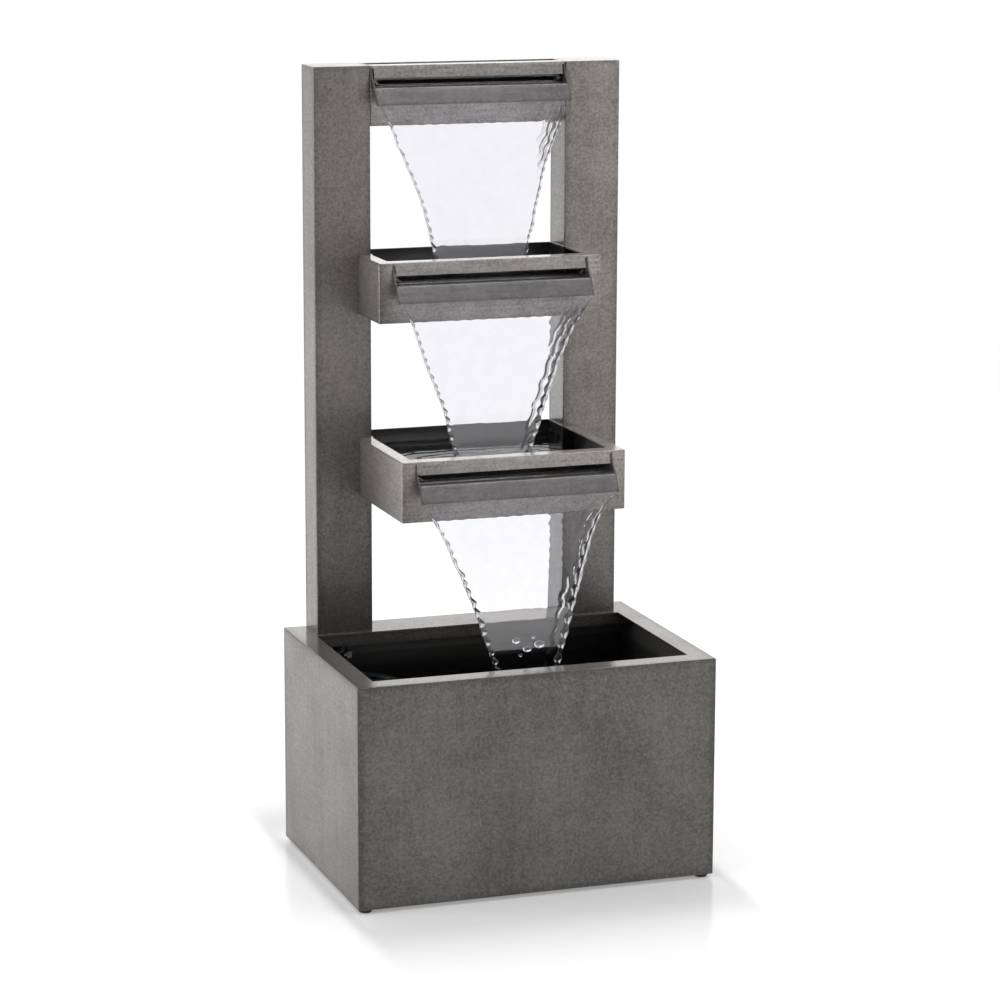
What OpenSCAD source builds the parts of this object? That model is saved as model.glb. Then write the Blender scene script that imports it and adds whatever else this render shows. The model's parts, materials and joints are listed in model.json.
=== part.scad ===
// Three-tier sheet-metal fountain. A pump in the reservoir lifts water through a riser in the
// left post to the header, and each trough pours through a wide scoop onto the one below.
// Millimetres. +Z is up, the fountain faces -Y, and the origin is on the floor at its centre.

/* [Reservoir] */
// Width of the reservoir, left to right
tub_w = 508; // [490:1:560]
// Depth of the reservoir, front to back
tub_d = 356; // [345:1:400]
// Height of the reservoir's walls
tub_h = 305; // [280:1:350]
// Width of the flange along the reservoir's front and sides
rim_w = 30; // [20:1:36]
// Depth of the deck at the reservoir's rear, which carries the posts
deck_d = 64; // [61:1:76]
// Thickness of all the sheet metal
sheet = 2; // [1.4:0.1:2.4]
// Height of the rubber feet
foot_h = 5; // [3:1:12]
// Diameter of the rubber feet
foot_dia = 18; // [14:1:24]
// Distance from the reservoir's walls to the centre of each foot
foot_inset = 13; // [12:1:30]

/* [Tower] */
// Height of the posts above the reservoir's rim
tower_h = 786; // [740:1:860]
// Clear width of the window between the posts
window_w = 282; // [260:1:300]
// Width of each post
post_w = 80; // [70:1:90]
// Depth of each post
post_d = 57; // [50:1:58]
// Width of the inturned edges at the back of each post
return_w = 12; // [10:1:14]
// Thickness of the plate in the bottom of each post
foot_plate_t = 6; // [4:1:10]
// Height of the channel under the deck
bearer_h = 16; // [12:1:18]
// Thickness of the channel under the deck
bearer_t = 3; // [2:0.5:4]

/* [Troughs] */
// Height of each trough
trough_h = 82; // [70:1:95]
// Height of the middle tray's rim above the reservoir's rim
middle_rise = 529; // [480:1:580]
// Height of the lower tray's rim above the reservoir's rim
lower_rise = 275; // [230:1:320]
// Distance that the middle tray stands out in front of the posts
middle_out = 95; // [75:1:120]
// Distance that the lower tray stands out in front of the posts
lower_out = 195; // [170:1:215]
// Width by which each tray laps in front of a post
shoulder = 18; // [14:1:26]
// Width of each trough's front flange
front_flange = 21; // [14:1:28]
// Width of the header's rear flange
rear_flange = 8; // [4:1:12]

/* [Spouts] */
// Depth of a scoop's floor below its rim
floor_drop = 30; // [26:1:36]
// Distance that a scoop's floor stands out from the face
floor_out = 16; // [12:1:24]
// Height of the drip lip below the floor
lip_drop = 22; // [10:1:26]
// Extra distance that the drip lip stands out
lip_out = 12; // [4:1:16]
// Depth of the hood's lower edge below the rim
hood_drop = 17; // [10:1:20]
// Distance that the hood's lower edge stands out from the face
hood_out = 4; // [2:1:10]
// Gap between a scoop's cheek and the line of the post
scoop_gap = 1; // [0.5:0.1:3]
// Height of the flange behind the face that holds the scoop
scoop_flange = 12; // [8:1:20]

/* [Pump] */
// Width of the pump
pump_w = 56; // [52:1:64]
// Height of the pump
pump_h = 50; // [48:1:56]
// Length of the motor housing
pump_l = 60; // [56:1:66]
// Height of the suction cups under the pump
cup_h = 5; // [4:1:8]
// Outer radius of the impeller
impeller_r = 16.5; // [14:0.5:17]
// Number of impeller blades
blades = 6; // [4:1:8]
// Radius of the rotor's magnet
magnet_r = 11; // [9:0.5:11.5]
// Radius of the rotor's shaft
shaft_r = 2; // [1.5:0.1:2.5]
// Width of the strainer's slots
slot_w = 2.4; // [1.6:0.2:3]
// Length of the strainer in front of the pump
strainer_l = 32; // [28:1:38]

/* [Plumbing] */
// Outer radius of the riser pipe
riser_r = 8; // [7:0.5:9]
// Wall thickness of the riser pipe
riser_wall = 1.5; // [1:0.1:2]
// Radius of the riser's bend, on its centre line
riser_bend = 24; // [22:1:28]
// Wall thickness of the hose
hose_wall = 2.5; // [2:0.1:3]
// Radius of each bend in the hose, on its centre line
hose_bend = 45; // [36:1:50]
// Level distance from the pump's nozzle to the riser
hose_reach = 120; // [110:1:130]
// Direction from the nozzle to the riser, in degrees from +X
hose_turn = 126; // [120:1:132]
// Length of hose that grips the pipe or nozzle at each end
hose_grip = 24; // [18:1:28]
// Depth of the riser's lower end below the reservoir's rim
riser_dip = 48; // [44:1:60]
// Depth of the inlet below the header's top
inlet_drop = 54; // [48:1:58]

/* [Fasteners] */
// Radius of the trough screws
screw_r = 2.5; // [2:0.25:3]
// Distance from a post's edges to the trough screws
screw_edge = 14; // [12:1:17]
// Depth of the trough screws below each rim
screw_drop = 16; // [12:1:20]
// Radius of the post bolts
bolt_r = 3; // [2.5:0.25:4]
// Distance from a post's centre line to its bolts
bolt_spread = 26; // [22:1:28]
// Radius of the cover screws
cover_screw_r = 1.9; // [1.5:0.1:2.2]
// Distance from a cover's ends to its end screws
cover_screw_end = 32; // [24:1:40]

/* [Cord outlet] */
// Distance from the left wall to the cord outlet
outlet_inset = 54; // [40:1:80]
// Depth of the cord outlet below the reservoir's rim
outlet_drop = 33; // [31:1:44]
// Radius of the hole for the cord
cord_r = 3.75; // [3:0.25:4.5]

/* [Hidden] */
$fn = 64;

// Clearances
fit = 0.3;
slip = 0.05;
hole_slack = 0.3;

// Places that many pieces share
front = -tub_d / 2;
rear = tub_d / 2;
rim_z = foot_h + tub_h;
floor_z = foot_h + sheet;
post_front = rear - post_d;
post_mid = rear - post_d / 2;
post_x = (window_w + post_w) / 2;
top_z = rim_z + tower_h;
middle_z = rim_z + middle_rise;
lower_z = rim_z + lower_rise;
middle_front = post_front - middle_out;
lower_front = post_front - lower_out;

// Troughs: half widths of the part between the posts and of the part in front of them
inner_half = window_w / 2 - fit;
outer_half = window_w / 2 + shoulder;
screw_ys = [post_front + screw_edge, rear - screw_edge];

// Scoops: half widths of the whole scoop, of its floor and of the hood above it
scoop_half = window_w / 2 - scoop_gap;
floor_half = scoop_half - sheet - slip;
face_half = scoop_half - sheet;
hood_half = face_half - sheet;
fold = 2 * sheet;
fold_lap = 0.5;

// Cut depth past a face, so that cuts leave no skin
over = 1;

// Channel and holes under the posts
bearer_setback = 3;
bearer_front = rear - deck_d + bearer_setback;
bearer_rear = rear - sheet;
deck_under = rim_z - sheet;
web_under = deck_under - bearer_t;
bolt_hole_r = bolt_r + hole_slack;
washer_t = 1.5;
bolt_head_h = 4;
bolt_head_r = 1.9 * bolt_r;
bolt_end = 2;
washer_r = 2.1 * bolt_r;
lip_t = 2;
grommet_wall = 2.6;
grommet_lip = 2.6;
riser_hole_r = riser_r + slip + grommet_wall;
foot_plate_hole_r = riser_hole_r + grommet_lip + 1;

// Riser and inlet
riser_low = rim_z - riser_dip;
inlet_z = top_z - inlet_drop;
inlet_x = -window_w / 2;
inlet_wall = 2 * sheet + fit;
riser_end = 12;

// Pump, in its own frame: y = 0 is the housing's front face, and z = 0 is its base
drum_l = 16;
pump_x = -post_x - hose_reach * cos(hose_turn);
pump_y = post_mid - hose_reach * sin(hose_turn) + drum_l / 2;
pump_z = floor_z + cup_h;
axis_z = pump_h / 2;
corner_r = 8;
chamber_r = impeller_r + 1.5;
drum_wall = 3;
drum_r = chamber_r + drum_wall;
drum_front_t = 2;
flange_t = 4;
nozzle_y = -drum_l / 2;
barb = 0.4;
barb_l = 4;
barb_pitch = 5;
nozzle_r = riser_r - barb;
nozzle_wall = 2;
nozzle_neck = 3;
nozzle_base = pump_h + nozzle_neck;
nozzle_top = nozzle_base + hose_grip;
cap_t = 3;
cap_inset = 4;
rib_xs = [-12, -4, 4, 12];
rib_w = 2;
rib_h = 1.5;
rib_end = 8;
magnet_l = 42;
magnet_y = 1;
well_r = magnet_r + 1;
well_l = magnet_l + 4;
bush_l = 4;
rear_bush_r = 5;
front_bush_r = 3.5;
boss_wall = 2;
arm_w = 2.4;
eye_r = chamber_r - 6;
hub_r = 4.5;
blade_back = -3;
blade_front = -11;
blade_t = 1.6;
blade_inset = 0.5;
disc_t = 1.5;
base_t = 4;
lug = 9;
cup_r = 9;
cup_neck_r = 4.4;
cup_rim = 1.4;
cup_tip_r = 1;
stem_r = 2.4;
button = 0.6;
button_h = 2;
cup_ys = [12, pump_l - 12];
volute_screw_r = 1.5;
volute_screw_l = 12;
volute_head_h = 1.6;
volute_screw_inset = 7;
volute_screw_x = pump_w / 2 - volute_screw_inset;
volute_screw_z = pump_h / 2 - volute_screw_inset;
seal_r = chamber_r + 1.2;
seal_w = 2;
seal_groove = 1.6;
strainer_front = -flange_t - fit - strainer_l;
strainer_wall = 2;
slot_end = 6;
knob_rows = 2;
nozzle_gate = nozzle_r + 1;
knob_stem_r = 3;
knob_r = 10;
knob_l = 6;
knob_skirt = 1.5;
flute_r = 1.4;
flutes = 12;
pointer_w = 2.4;
pointer_h = 2;
pointer_l = 16;
shutter_r = 13;
shutter_t = 1.5;
port_edge = 2;

// Hose: an S from the pump's nozzle to the riser, in the upright plane through both
hose_in = riser_r + slip;
hose_out = hose_in + hose_wall;
hose_bottom = pump_z + nozzle_base;
hose_top = riser_low + hose_grip;
hose_last = hose_grip + 6;
hose_first = hose_top - hose_bottom - 2 * hose_bend - hose_last;
clamp_w = 9;
clamp_t = 0.9;
clamp_inset = 7;
clamp_in = hose_out + slip;
worm_r = 3.2;
worm_x = clamp_in + clamp_t + worm_r + 0.4;
worm_case_w = 10;
worm_case_wall = 1;
worm_l = 13;
worm_head_l = 3.5;
worm_head_r = worm_r + 0.8;
worm_slot_w = 1;
worm_slot_depth = 1;

// Cord outlet in a shallow dimple, so that nothing stands out behind the rear wall
outlet_x = outlet_inset - tub_w / 2;
outlet_z = rim_z - outlet_drop;
outlet_lip_r = cord_r + 6;
outlet_body_r = cord_r + 2.2;
dimple_r = outlet_lip_r + 1;

// Boot where the cord enters the motor
gland_foot_r = cord_r + 4;
gland_foot_t = 3;
gland_base_r = cord_r + 3;
gland_tip_r = cord_r + 1.6;
gland_l = 9;
gland_skin = 2;

// Colours
zinc = [0.47, 0.45, 0.44];
zinc_light = [0.58, 0.56, 0.55];
steel = [0.72, 0.73, 0.74];
rubber = [0.08, 0.08, 0.08];
plastic = [0.12, 0.13, 0.14];
vinyl = [0.25, 0.27, 0.28];
ceramic = [0.9, 0.9, 0.86];
nylon = [0.8, 0.8, 0.74];
magnet = [0.3, 0.3, 0.33];

// A box from its low corner to its high corner
module block(low, high) {
  translate(low) cube(high - low);
}

// A cylinder along X, Y or Z from one coordinate to another, at a place on the other two axes
module rod_x(x0, x1, y, z, r) {
  translate([x0, y, z]) rotate([0, 90, 0]) cylinder(r = r, h = x1 - x0);
}
module rod_y(y0, y1, x, z, r) {
  translate([x, y0, z]) rotate([-90, 0, 0]) cylinder(r = r, h = y1 - y0);
}
module rod_z(z0, z1, x, y, r) {
  translate([x, y, z0]) cylinder(r = r, h = z1 - z0);
}

// A rectangle with round corners, centred
module round_rect(w, h, r) {
  square([w - 2 * r, h], center = true);
  square([w, h - 2 * r], center = true);
  for (x = [-1, 1], y = [-1, 1])
    translate([x * (w / 2 - r), y * (h / 2 - r)]) circle(r = r);
}

// A pipe's quarter or part turn: it starts at the origin along +Z and bends towards +X
module bend(radius, angle, r) {
  translate([radius, 0, 0]) rotate([90, 0, 0]) rotate([0, 0, 180 - angle])
    rotate_extrude(angle = angle) translate([radius, 0]) circle(r = r);
}

// Reservoir

// Holes through the deck and the channel for the post bolts and the riser
module deck_holes(z0, z1) {
  for (side = [-1, 1], step = [-1, 1])
    rod_z(z0, z1, side * post_x + step * bolt_spread, post_mid, bolt_hole_r);
  rod_z(z0, z1, -post_x, post_mid, riser_hole_r);
}

module reservoir_tub() {
  color(zinc) difference() {
    union() {
      difference() {
        block([-tub_w / 2, front, foot_h], [tub_w / 2, rear, rim_z]);
        block([-tub_w / 2 + sheet, front + sheet, floor_z], [tub_w / 2 - sheet, rear - sheet, rim_z - sheet]);
        block([-tub_w / 2 + rim_w, front + rim_w, rim_z - 2 * sheet],
              [tub_w / 2 - rim_w, rear - deck_d, rim_z + over]);
        rod_y(rear - sheet - over, rear + over, outlet_x, outlet_z, outlet_lip_r + hole_slack);
      }
      rod_y(rear - 2 * sheet, rear - sheet, outlet_x, outlet_z, dimple_r);
    }
    rod_y(rear - 3 * sheet, rear + over, outlet_x, outlet_z, outlet_body_r + slip);
    deck_holes(rim_z - 2 * sheet, rim_z + over);
  }
}

module post_bearer() {
  color(zinc) difference() {
    block([-tub_w / 2 + sheet, bearer_front, deck_under - bearer_h],
          [tub_w / 2 - sheet, bearer_rear, deck_under]);
    block([-tub_w / 2, bearer_front + bearer_t, deck_under - bearer_h - over],
          [tub_w / 2, bearer_rear - bearer_t, web_under]);
    deck_holes(web_under - over, deck_under + over);
  }
}

module cord_grommet() {
  color(rubber) difference() {
    union() {
      rod_y(rear - sheet, rear - 0.2, outlet_x, outlet_z, outlet_lip_r);
      rod_y(rear - 2 * sheet, rear - sheet, outlet_x, outlet_z, outlet_body_r);
      rod_y(rear - 2 * sheet - lip_t, rear - 2 * sheet, outlet_x, outlet_z, outlet_lip_r);
    }
    rod_y(rear - 2 * sheet - lip_t - over, rear + over, outlet_x, outlet_z, cord_r);
  }
}

// A rubber pad with a bevelled lower edge, bonded under the floor
module foot(side, end) {
  x = side * (tub_w / 2 - foot_inset);
  y = end * (tub_d / 2 - foot_inset);
  bevel = 1;
  color(rubber) translate([x, y, 0]) {
    cylinder(r1 = foot_dia / 2 - bevel, r2 = foot_dia / 2, h = bevel);
    translate([0, 0, bevel]) cylinder(d = foot_dia, h = foot_h - bevel);
  }
}
module foot_front_left() { foot(-1, -1); }
module foot_front_right() { foot(1, -1); }
module foot_rear_left() { foot(-1, 1); }
module foot_rear_right() { foot(1, 1); }

// Tower

// A cross for the driver in a screw head whose top is at z = 0, cut towards +Z
cross_w = 0.9;
cross_depth = 1.2;
module driver_cross(r) {
  block([-r, -cross_w / 2, -over], [r, cross_w / 2, cross_depth]);
  block([-cross_w / 2, -r, -over], [cross_w / 2, r, cross_depth]);
}

// Rows of cover screws, up both inturned edges of a post
cover_screw_xs = [-post_w / 2 + return_w / 2, post_w / 2 - return_w / 2];
cover_screw_zs = [rim_z + cover_screw_end, (rim_z + top_z) / 2, top_z - cover_screw_end];
cover_screw_l = 10;
sink_h = 0.8 * sheet;

module cover_screw_bores(x, y0, y1, r) {
  for (dx = cover_screw_xs, z = cover_screw_zs)
    rod_y(y0, y1, x + dx, z, r);
}

// Holes in a post's inner side for the trough screws
module trough_screw_bores(side) {
  x = side * window_w / 2;
  for (y = screw_ys, z = [top_z, middle_z, lower_z])
    rod_x(x - 2 * sheet - over, x + 2 * sheet + over, y, z - screw_drop, screw_r + hole_slack);
}

// A folded post: three walls, inturned rear edges and a closed top that laps over the cover
module post(side) {
  x = side * post_x;
  half = post_w / 2;
  color(zinc) difference() {
    union() {
      block([x - half, post_front, rim_z], [x + half, rear - sheet, top_z]);
      block([x - half, post_front, top_z - sheet], [x + half, rear, top_z]);
    }
    block([x - half + sheet, post_front + sheet, rim_z - over],
          [x + half - sheet, rear - 2 * sheet, top_z - sheet]);
    block([x - half + return_w, post_front + sheet, rim_z - over],
          [x + half - return_w, rear - sheet + over, top_z - return_w]);
    cover_screw_bores(x, rear - 3 * sheet, rear - sheet + over, cover_screw_r + slip);
    trough_screw_bores(side);
    if (side < 0) rod_x(inlet_x - 2 * sheet, inlet_x + over, post_mid, inlet_z, riser_hole_r);
  }
}
module left_post() { post(-1); }
module right_post() { post(1); }

// The plate that closes the back of a post, with its screws sunk flush
module post_cover(side) {
  x = side * post_x;
  color(zinc) difference() {
    block([x - post_w / 2, rear - sheet, rim_z + fit], [x + post_w / 2, rear, top_z - sheet - fit]);
    cover_screw_bores(x, rear - sheet - over, rear + over, cover_screw_r + slip);
    for (dx = cover_screw_xs, z = cover_screw_zs)
      translate([x + dx, rear, z]) rotate([90, 0, 0])
        cylinder(r1 = 2 * cover_screw_r + slip, r2 = cover_screw_r + slip, h = sink_h);
  }
}
module left_post_cover() { post_cover(-1); }
module right_post_cover() { post_cover(1); }

module cover_screws() {
  color(steel) for (side = [-1, 1], dx = cover_screw_xs, z = cover_screw_zs)
    translate([side * post_x + dx, rear, z]) rotate([90, 0, 0]) difference() {
      union() {
        cylinder(r1 = 2 * cover_screw_r, r2 = cover_screw_r, h = sink_h);
        cylinder(r = cover_screw_r, h = cover_screw_l);
      }
      driver_cross(cover_screw_r);
    }
}

// The plate welded in the bottom of a post, tapped for its two bolts
module post_foot(side) {
  x = side * post_x;
  half = post_w / 2 - sheet;
  color(steel) difference() {
    block([x - half, post_front + sheet, rim_z], [x + half, rear - 2 * sheet, rim_z + foot_plate_t]);
    for (step = [-1, 1])
      rod_z(rim_z - over, rim_z + foot_plate_t + over, x + step * bolt_spread, post_mid, bolt_r + slip);
    rod_z(rim_z - over, rim_z + foot_plate_t + over, x, post_mid, foot_plate_hole_r);
  }
}
module left_post_foot() { post_foot(-1); }
module right_post_foot() { post_foot(1); }

module at_post_bolts() {
  for (side = [-1, 1], step = [-1, 1])
    translate([side * post_x + step * bolt_spread, post_mid, 0]) children();
}

module post_bolts() {
  head_z = web_under - washer_t - bolt_head_h;
  color(steel) at_post_bolts() {
    translate([0, 0, head_z]) cylinder(r = bolt_head_r, h = bolt_head_h, $fn = 6);
    translate([0, 0, head_z + bolt_head_h])
      cylinder(r = bolt_r, h = rim_z + foot_plate_t + bolt_end - head_z - bolt_head_h);
  }
}

module post_washers() {
  color(steel) at_post_bolts() translate([0, 0, web_under - washer_t]) difference() {
    cylinder(r = washer_r, h = washer_t);
    translate([0, 0, -over]) cylinder(r = bolt_r + slip, h = washer_t + 2 * over);
  }
}

// Troughs

// The face opening through which a scoop's floor passes, up to the fold under the rim
module face_opening(face_y, z) {
  block([-face_half, face_y - over, z - floor_drop - sheet], [face_half, face_y + sheet + over, z - fold]);
}

// The strip above the opening, bent outwards from the fold
module hood(face_y, z) {
  translate([-hood_half, face_y, z]) rotate([90, 0, 90]) linear_extrude(2 * hood_half)
    polygon([
      [0, -sheet], [sheet, -sheet], [sheet, -fold], [-hood_out + sheet, -hood_drop],
      [-hood_out, -hood_drop], [0, -fold]
    ]);
}

// Outline of a tray in plan, drawn in by a distance: wide in front of the posts, narrow between
module tray_outline(face_y, in) {
  translate([-outer_half + in, face_y + in]) square([2 * (outer_half - in), post_front - face_y - 2 * in]);
  translate([-inner_half + in, face_y + in]) square([2 * (inner_half - in), rear - face_y - 2 * in]);
}

module tray(face_y, z) {
  color(zinc) union() {
    difference() {
      translate([0, 0, z - trough_h]) linear_extrude(trough_h) tray_outline(face_y, 0);
      translate([0, 0, z - trough_h + sheet]) linear_extrude(trough_h - 2 * sheet)
        tray_outline(face_y, sheet);
      block([-outer_half + shoulder, face_y + front_flange, z - 2 * sheet],
            [outer_half - shoulder, post_front - sheet, z + over]);
      block([-inner_half + sheet, post_front - 2 * sheet, z - 2 * sheet],
            [inner_half - sheet, rear - sheet, z + over]);
      face_opening(face_y, z);
      side_screw_bores(z);
    }
    hood(face_y, z);
  }
}
module middle_tray() { tray(middle_front, middle_z); }
module lower_tray() { tray(lower_front, lower_z); }

// Holes in a trough's sides for the screws into the posts
module side_screw_bores(z) {
  for (y = screw_ys)
    rod_x(-inner_half - over, inner_half + over, y, z - screw_drop, screw_r + hole_slack);
}

module header_trough() {
  low = top_z - trough_h;
  color(zinc) union() {
    difference() {
      block([-inner_half, post_front, low], [inner_half, rear, top_z]);
      block([-inner_half + sheet, post_front + sheet, low + sheet],
            [inner_half - sheet, rear - sheet, top_z - sheet]);
      block([-inner_half + sheet, post_front + front_flange, top_z - 2 * sheet],
            [inner_half - sheet, rear - rear_flange, top_z + over]);
      face_opening(post_front, top_z);
      side_screw_bores(top_z);
      rod_x(-inner_half - over, -inner_half + 2 * sheet, post_mid, inlet_z, riser_hole_r);
    }
    hood(post_front, top_z);
  }
}

// A scoop: floor, drip lip and rear flange folded from one blank, with a cheek at each end
module spout(face_y, z) {
  low = -floor_drop - sheet;
  color(zinc_light) translate([0, face_y, z]) {
    translate([-floor_half, 0, 0]) rotate([90, 0, 90]) linear_extrude(2 * floor_half)
      polygon([
        [2 * sheet, -floor_drop], [-floor_out, -floor_drop], [-floor_out - lip_out, -floor_drop - lip_drop],
        [-floor_out - lip_out + sheet, -floor_drop - lip_drop], [-floor_out + sheet, low],
        [sheet, low], [sheet, low - scoop_flange], [2 * sheet, low - scoop_flange]
      ]);
    for (side = [-1, 1])
      translate([side * (scoop_half - sheet / 2) - sheet / 2, 0, 0]) rotate([90, 0, 90]) linear_extrude(sheet)
        polygon([
          [0, -sheet - fold_lap], [0, low], [-floor_out + sheet, low],
          [-floor_out - lip_out + sheet, -floor_drop - lip_drop],
          [-floor_out - lip_out, -floor_drop - lip_drop], [-floor_out, -floor_drop],
          [-hood_out, -hood_drop]
        ]);
    // The folds that join the floor to the cheeks
    for (side = [-1, 1])
      translate([side * (floor_half + slip / 2) - slip / 2 - fold_lap, 0, 0]) rotate([90, 0, 90])
        linear_extrude(slip + 2 * fold_lap)
        polygon([[0, -floor_drop], [0, low], [-floor_out + sheet, low], [-floor_out, -floor_drop]]);
  }
}
module header_spout() { spout(post_front, top_z); }
module middle_spout() { spout(middle_front, middle_z); }
module lower_spout() { spout(lower_front, lower_z); }

// Pan-head screws from inside a trough, out through its sides and the posts
module trough_screws(z) {
  head_h = 3;
  head_r = 2 * screw_r;
  nut_end = window_w / 2 + sheet + 2 * screw_r;
  color(steel) for (side = [-1, 1], y = screw_ys)
    translate([0, y, z - screw_drop]) mirror([side < 0 ? 1 : 0, 0, 0]) difference() {
      union() {
        rod_x(inner_half - sheet - head_h, inner_half - sheet, 0, 0, head_r);
        rod_x(inner_half - sheet, nut_end, 0, 0, screw_r);
      }
      translate([inner_half - sheet - head_h, 0, 0]) rotate([0, 90, 0]) driver_cross(screw_r);
    }
}
module header_screws() { trough_screws(top_z); }
module middle_tray_screws() { trough_screws(middle_z); }
module lower_tray_screws() { trough_screws(lower_z); }

module trough_nuts(z) {
  nut_l = 1.6 * screw_r;
  x = window_w / 2 + sheet;
  color(steel) for (side = [-1, 1], y = screw_ys)
    translate([0, y, z - screw_drop]) mirror([side < 0 ? 1 : 0, 0, 0]) difference() {
      translate([x, 0, 0]) rotate([0, 90, 0]) cylinder(r = 1.85 * screw_r, h = nut_l, $fn = 6);
      rod_x(x - over, x + nut_l + over, 0, 0, screw_r + slip);
    }
}
module header_nuts() { trough_nuts(top_z); }
module middle_tray_nuts() { trough_nuts(middle_z); }
module lower_tray_nuts() { trough_nuts(lower_z); }

// Plumbing

// The riser's path, for its outside and its bore
module riser_run(r, past) {
  straight = inlet_z - riser_bend - riser_low;
  translate([-post_x, post_mid, riser_low]) {
    translate([0, 0, -past]) cylinder(r = r, h = straight + past);
    translate([0, 0, straight]) {
      bend(riser_bend, 90, r);
      translate([riser_bend, 0, riser_bend]) rotate([0, 90, 0])
        cylinder(r = r, h = post_x + inlet_x + inlet_wall - riser_bend + riser_end - sheet + past);
    }
  }
}

module riser_pipe() {
  color(steel) difference() {
    riser_run(riser_r, 0);
    riser_run(riser_r - riser_wall, over);
  }
}

// A rubber ring that grips the edges of a stack of walls, its bore on the pipe
module grommet(wall) {
  body = riser_hole_r - slip;
  color(rubber) difference() {
    union() {
      translate([0, 0, -lip_t]) cylinder(r = body + grommet_lip, h = lip_t);
      cylinder(r = body, h = wall);
      translate([0, 0, wall]) cylinder(r = body + grommet_lip, h = lip_t);
    }
    translate([0, 0, -lip_t - over]) cylinder(r = riser_r + slip, h = wall + 2 * (lip_t + over));
  }
}
module riser_grommet() { translate([-post_x, post_mid, web_under]) grommet(rim_z - web_under); }
module inlet_grommet() {
  translate([inlet_x - sheet, post_mid, inlet_z]) rotate([0, 90, 0]) grommet(inlet_wall);
}

// The hose's path, for its outside and its bore
module hose_run(r, past) {
  level = hose_first + hose_bend;
  translate([pump_x, pump_y + nozzle_y, hose_bottom]) rotate([0, 0, hose_turn]) {
    rod_z(-past, hose_first, 0, 0, r);
    translate([0, 0, hose_first]) bend(hose_bend, 90, r);
    rod_x(hose_bend, hose_reach - hose_bend, 0, level, r);
    translate([hose_reach, 0, level + hose_bend]) mirror([0, 0, 1]) mirror([1, 0, 0]) bend(hose_bend, 90, r);
    rod_z(level + hose_bend, level + hose_bend + hose_last + past, hose_reach, 0, r);
  }
}

module pump_hose() {
  color(vinyl) difference() {
    hose_run(hose_out, 0);
    hose_run(hose_in, over);
  }
}

// A worm clamp: the band round the hose, and the case that its screw turns in
module hose_clamp() {
  color(steel) difference() {
    union() {
      cylinder(r = clamp_in + clamp_t, h = clamp_w);
      block([clamp_in, -worm_case_w / 2, 0], [worm_x + worm_r + worm_case_wall, worm_case_w / 2, clamp_w]);
    }
    translate([0, 0, -over]) cylinder(r = clamp_in, h = clamp_w + 2 * over);
    rod_y(-worm_case_w / 2 - over, worm_case_w / 2 + over, worm_x, clamp_w / 2, worm_r);
  }
}
module clamp_screw() {
  head_y = -worm_l / 2 - worm_head_l;
  color(steel) {
    rod_y(-worm_l / 2, worm_l / 2, worm_x, clamp_w / 2, worm_r - slip);
    difference() {
      rod_y(head_y, -worm_l / 2, worm_x, clamp_w / 2, worm_head_r);
      block([worm_x - worm_head_r - over, head_y - over, clamp_w / 2 - worm_slot_w / 2],
            [worm_x + worm_head_r + over, head_y + worm_slot_depth, clamp_w / 2 + worm_slot_w / 2]);
    }
  }
}
module at_pump_clamp() { translate([pump_x, pump_y + nozzle_y, hose_bottom + clamp_inset]) children(); }
module at_riser_clamp() {
  translate([-post_x, post_mid, hose_top - clamp_inset - clamp_w]) rotate([0, 0, -60]) children();
}
module pump_hose_clamp() { at_pump_clamp() hose_clamp(); }
module riser_hose_clamp() { at_riser_clamp() hose_clamp(); }
module pump_clamp_screw() { at_pump_clamp() clamp_screw(); }
module riser_clamp_screw() { at_riser_clamp() clamp_screw(); }

// Pump

module in_pump() { translate([pump_x, pump_y, pump_z]) children(); }

// The pump's rounded section, from one y to another
module pump_section(y0, y1, shrink) {
  translate([0, y1, axis_z]) rotate([90, 0, 0]) linear_extrude(y1 - y0)
    round_rect(pump_w - 2 * shrink, pump_h - 2 * shrink, corner_r - shrink);
}

module at_volute_screws() {
  for (x = [-1, 1], z = [-1, 1]) translate([x * volute_screw_x, 0, axis_z + z * volute_screw_z]) children();
}

// The sealed motor, with the rotor's well, lugs for the cups and ribs along its top
module motor_housing() {
  color(plastic) in_pump() difference() {
    union() {
      pump_section(0, pump_l, 0);
      pump_section(pump_l - over, pump_l + cap_t, cap_inset);
      for (x = rib_xs)
        block([x - rib_w / 2, rib_end, pump_h - rib_h], [x + rib_w / 2, pump_l - rib_end, pump_h + rib_h]);
      for (side = [-1, 1]) for (y = cup_ys)
        hull() {
          rod_z(0, base_t, side * (pump_w / 2 + lug / 2), y, lug / 2);
          rod_z(0, base_t, side * (pump_w / 2 - corner_r), y, lug / 2);
        }
    }
    rod_y(-over, well_l, 0, axis_z, well_r);
    rod_y(well_l - over, well_l + bush_l, 0, axis_z, rear_bush_r + slip);
    difference() {
      rod_y(-over, seal_groove, 0, axis_z, seal_r + seal_w);
      rod_y(-2 * over, seal_groove + over, 0, axis_z, seal_r);
    }
    at_volute_screws() rod_y(-over, volute_screw_l - flange_t + over, 0, 0, volute_screw_r + slip);
    for (side = [-1, 1], y = cup_ys)
      rod_z(-over, base_t + over, side * (pump_w / 2 + lug / 2), y, stem_r + slip);
  }
}

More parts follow.
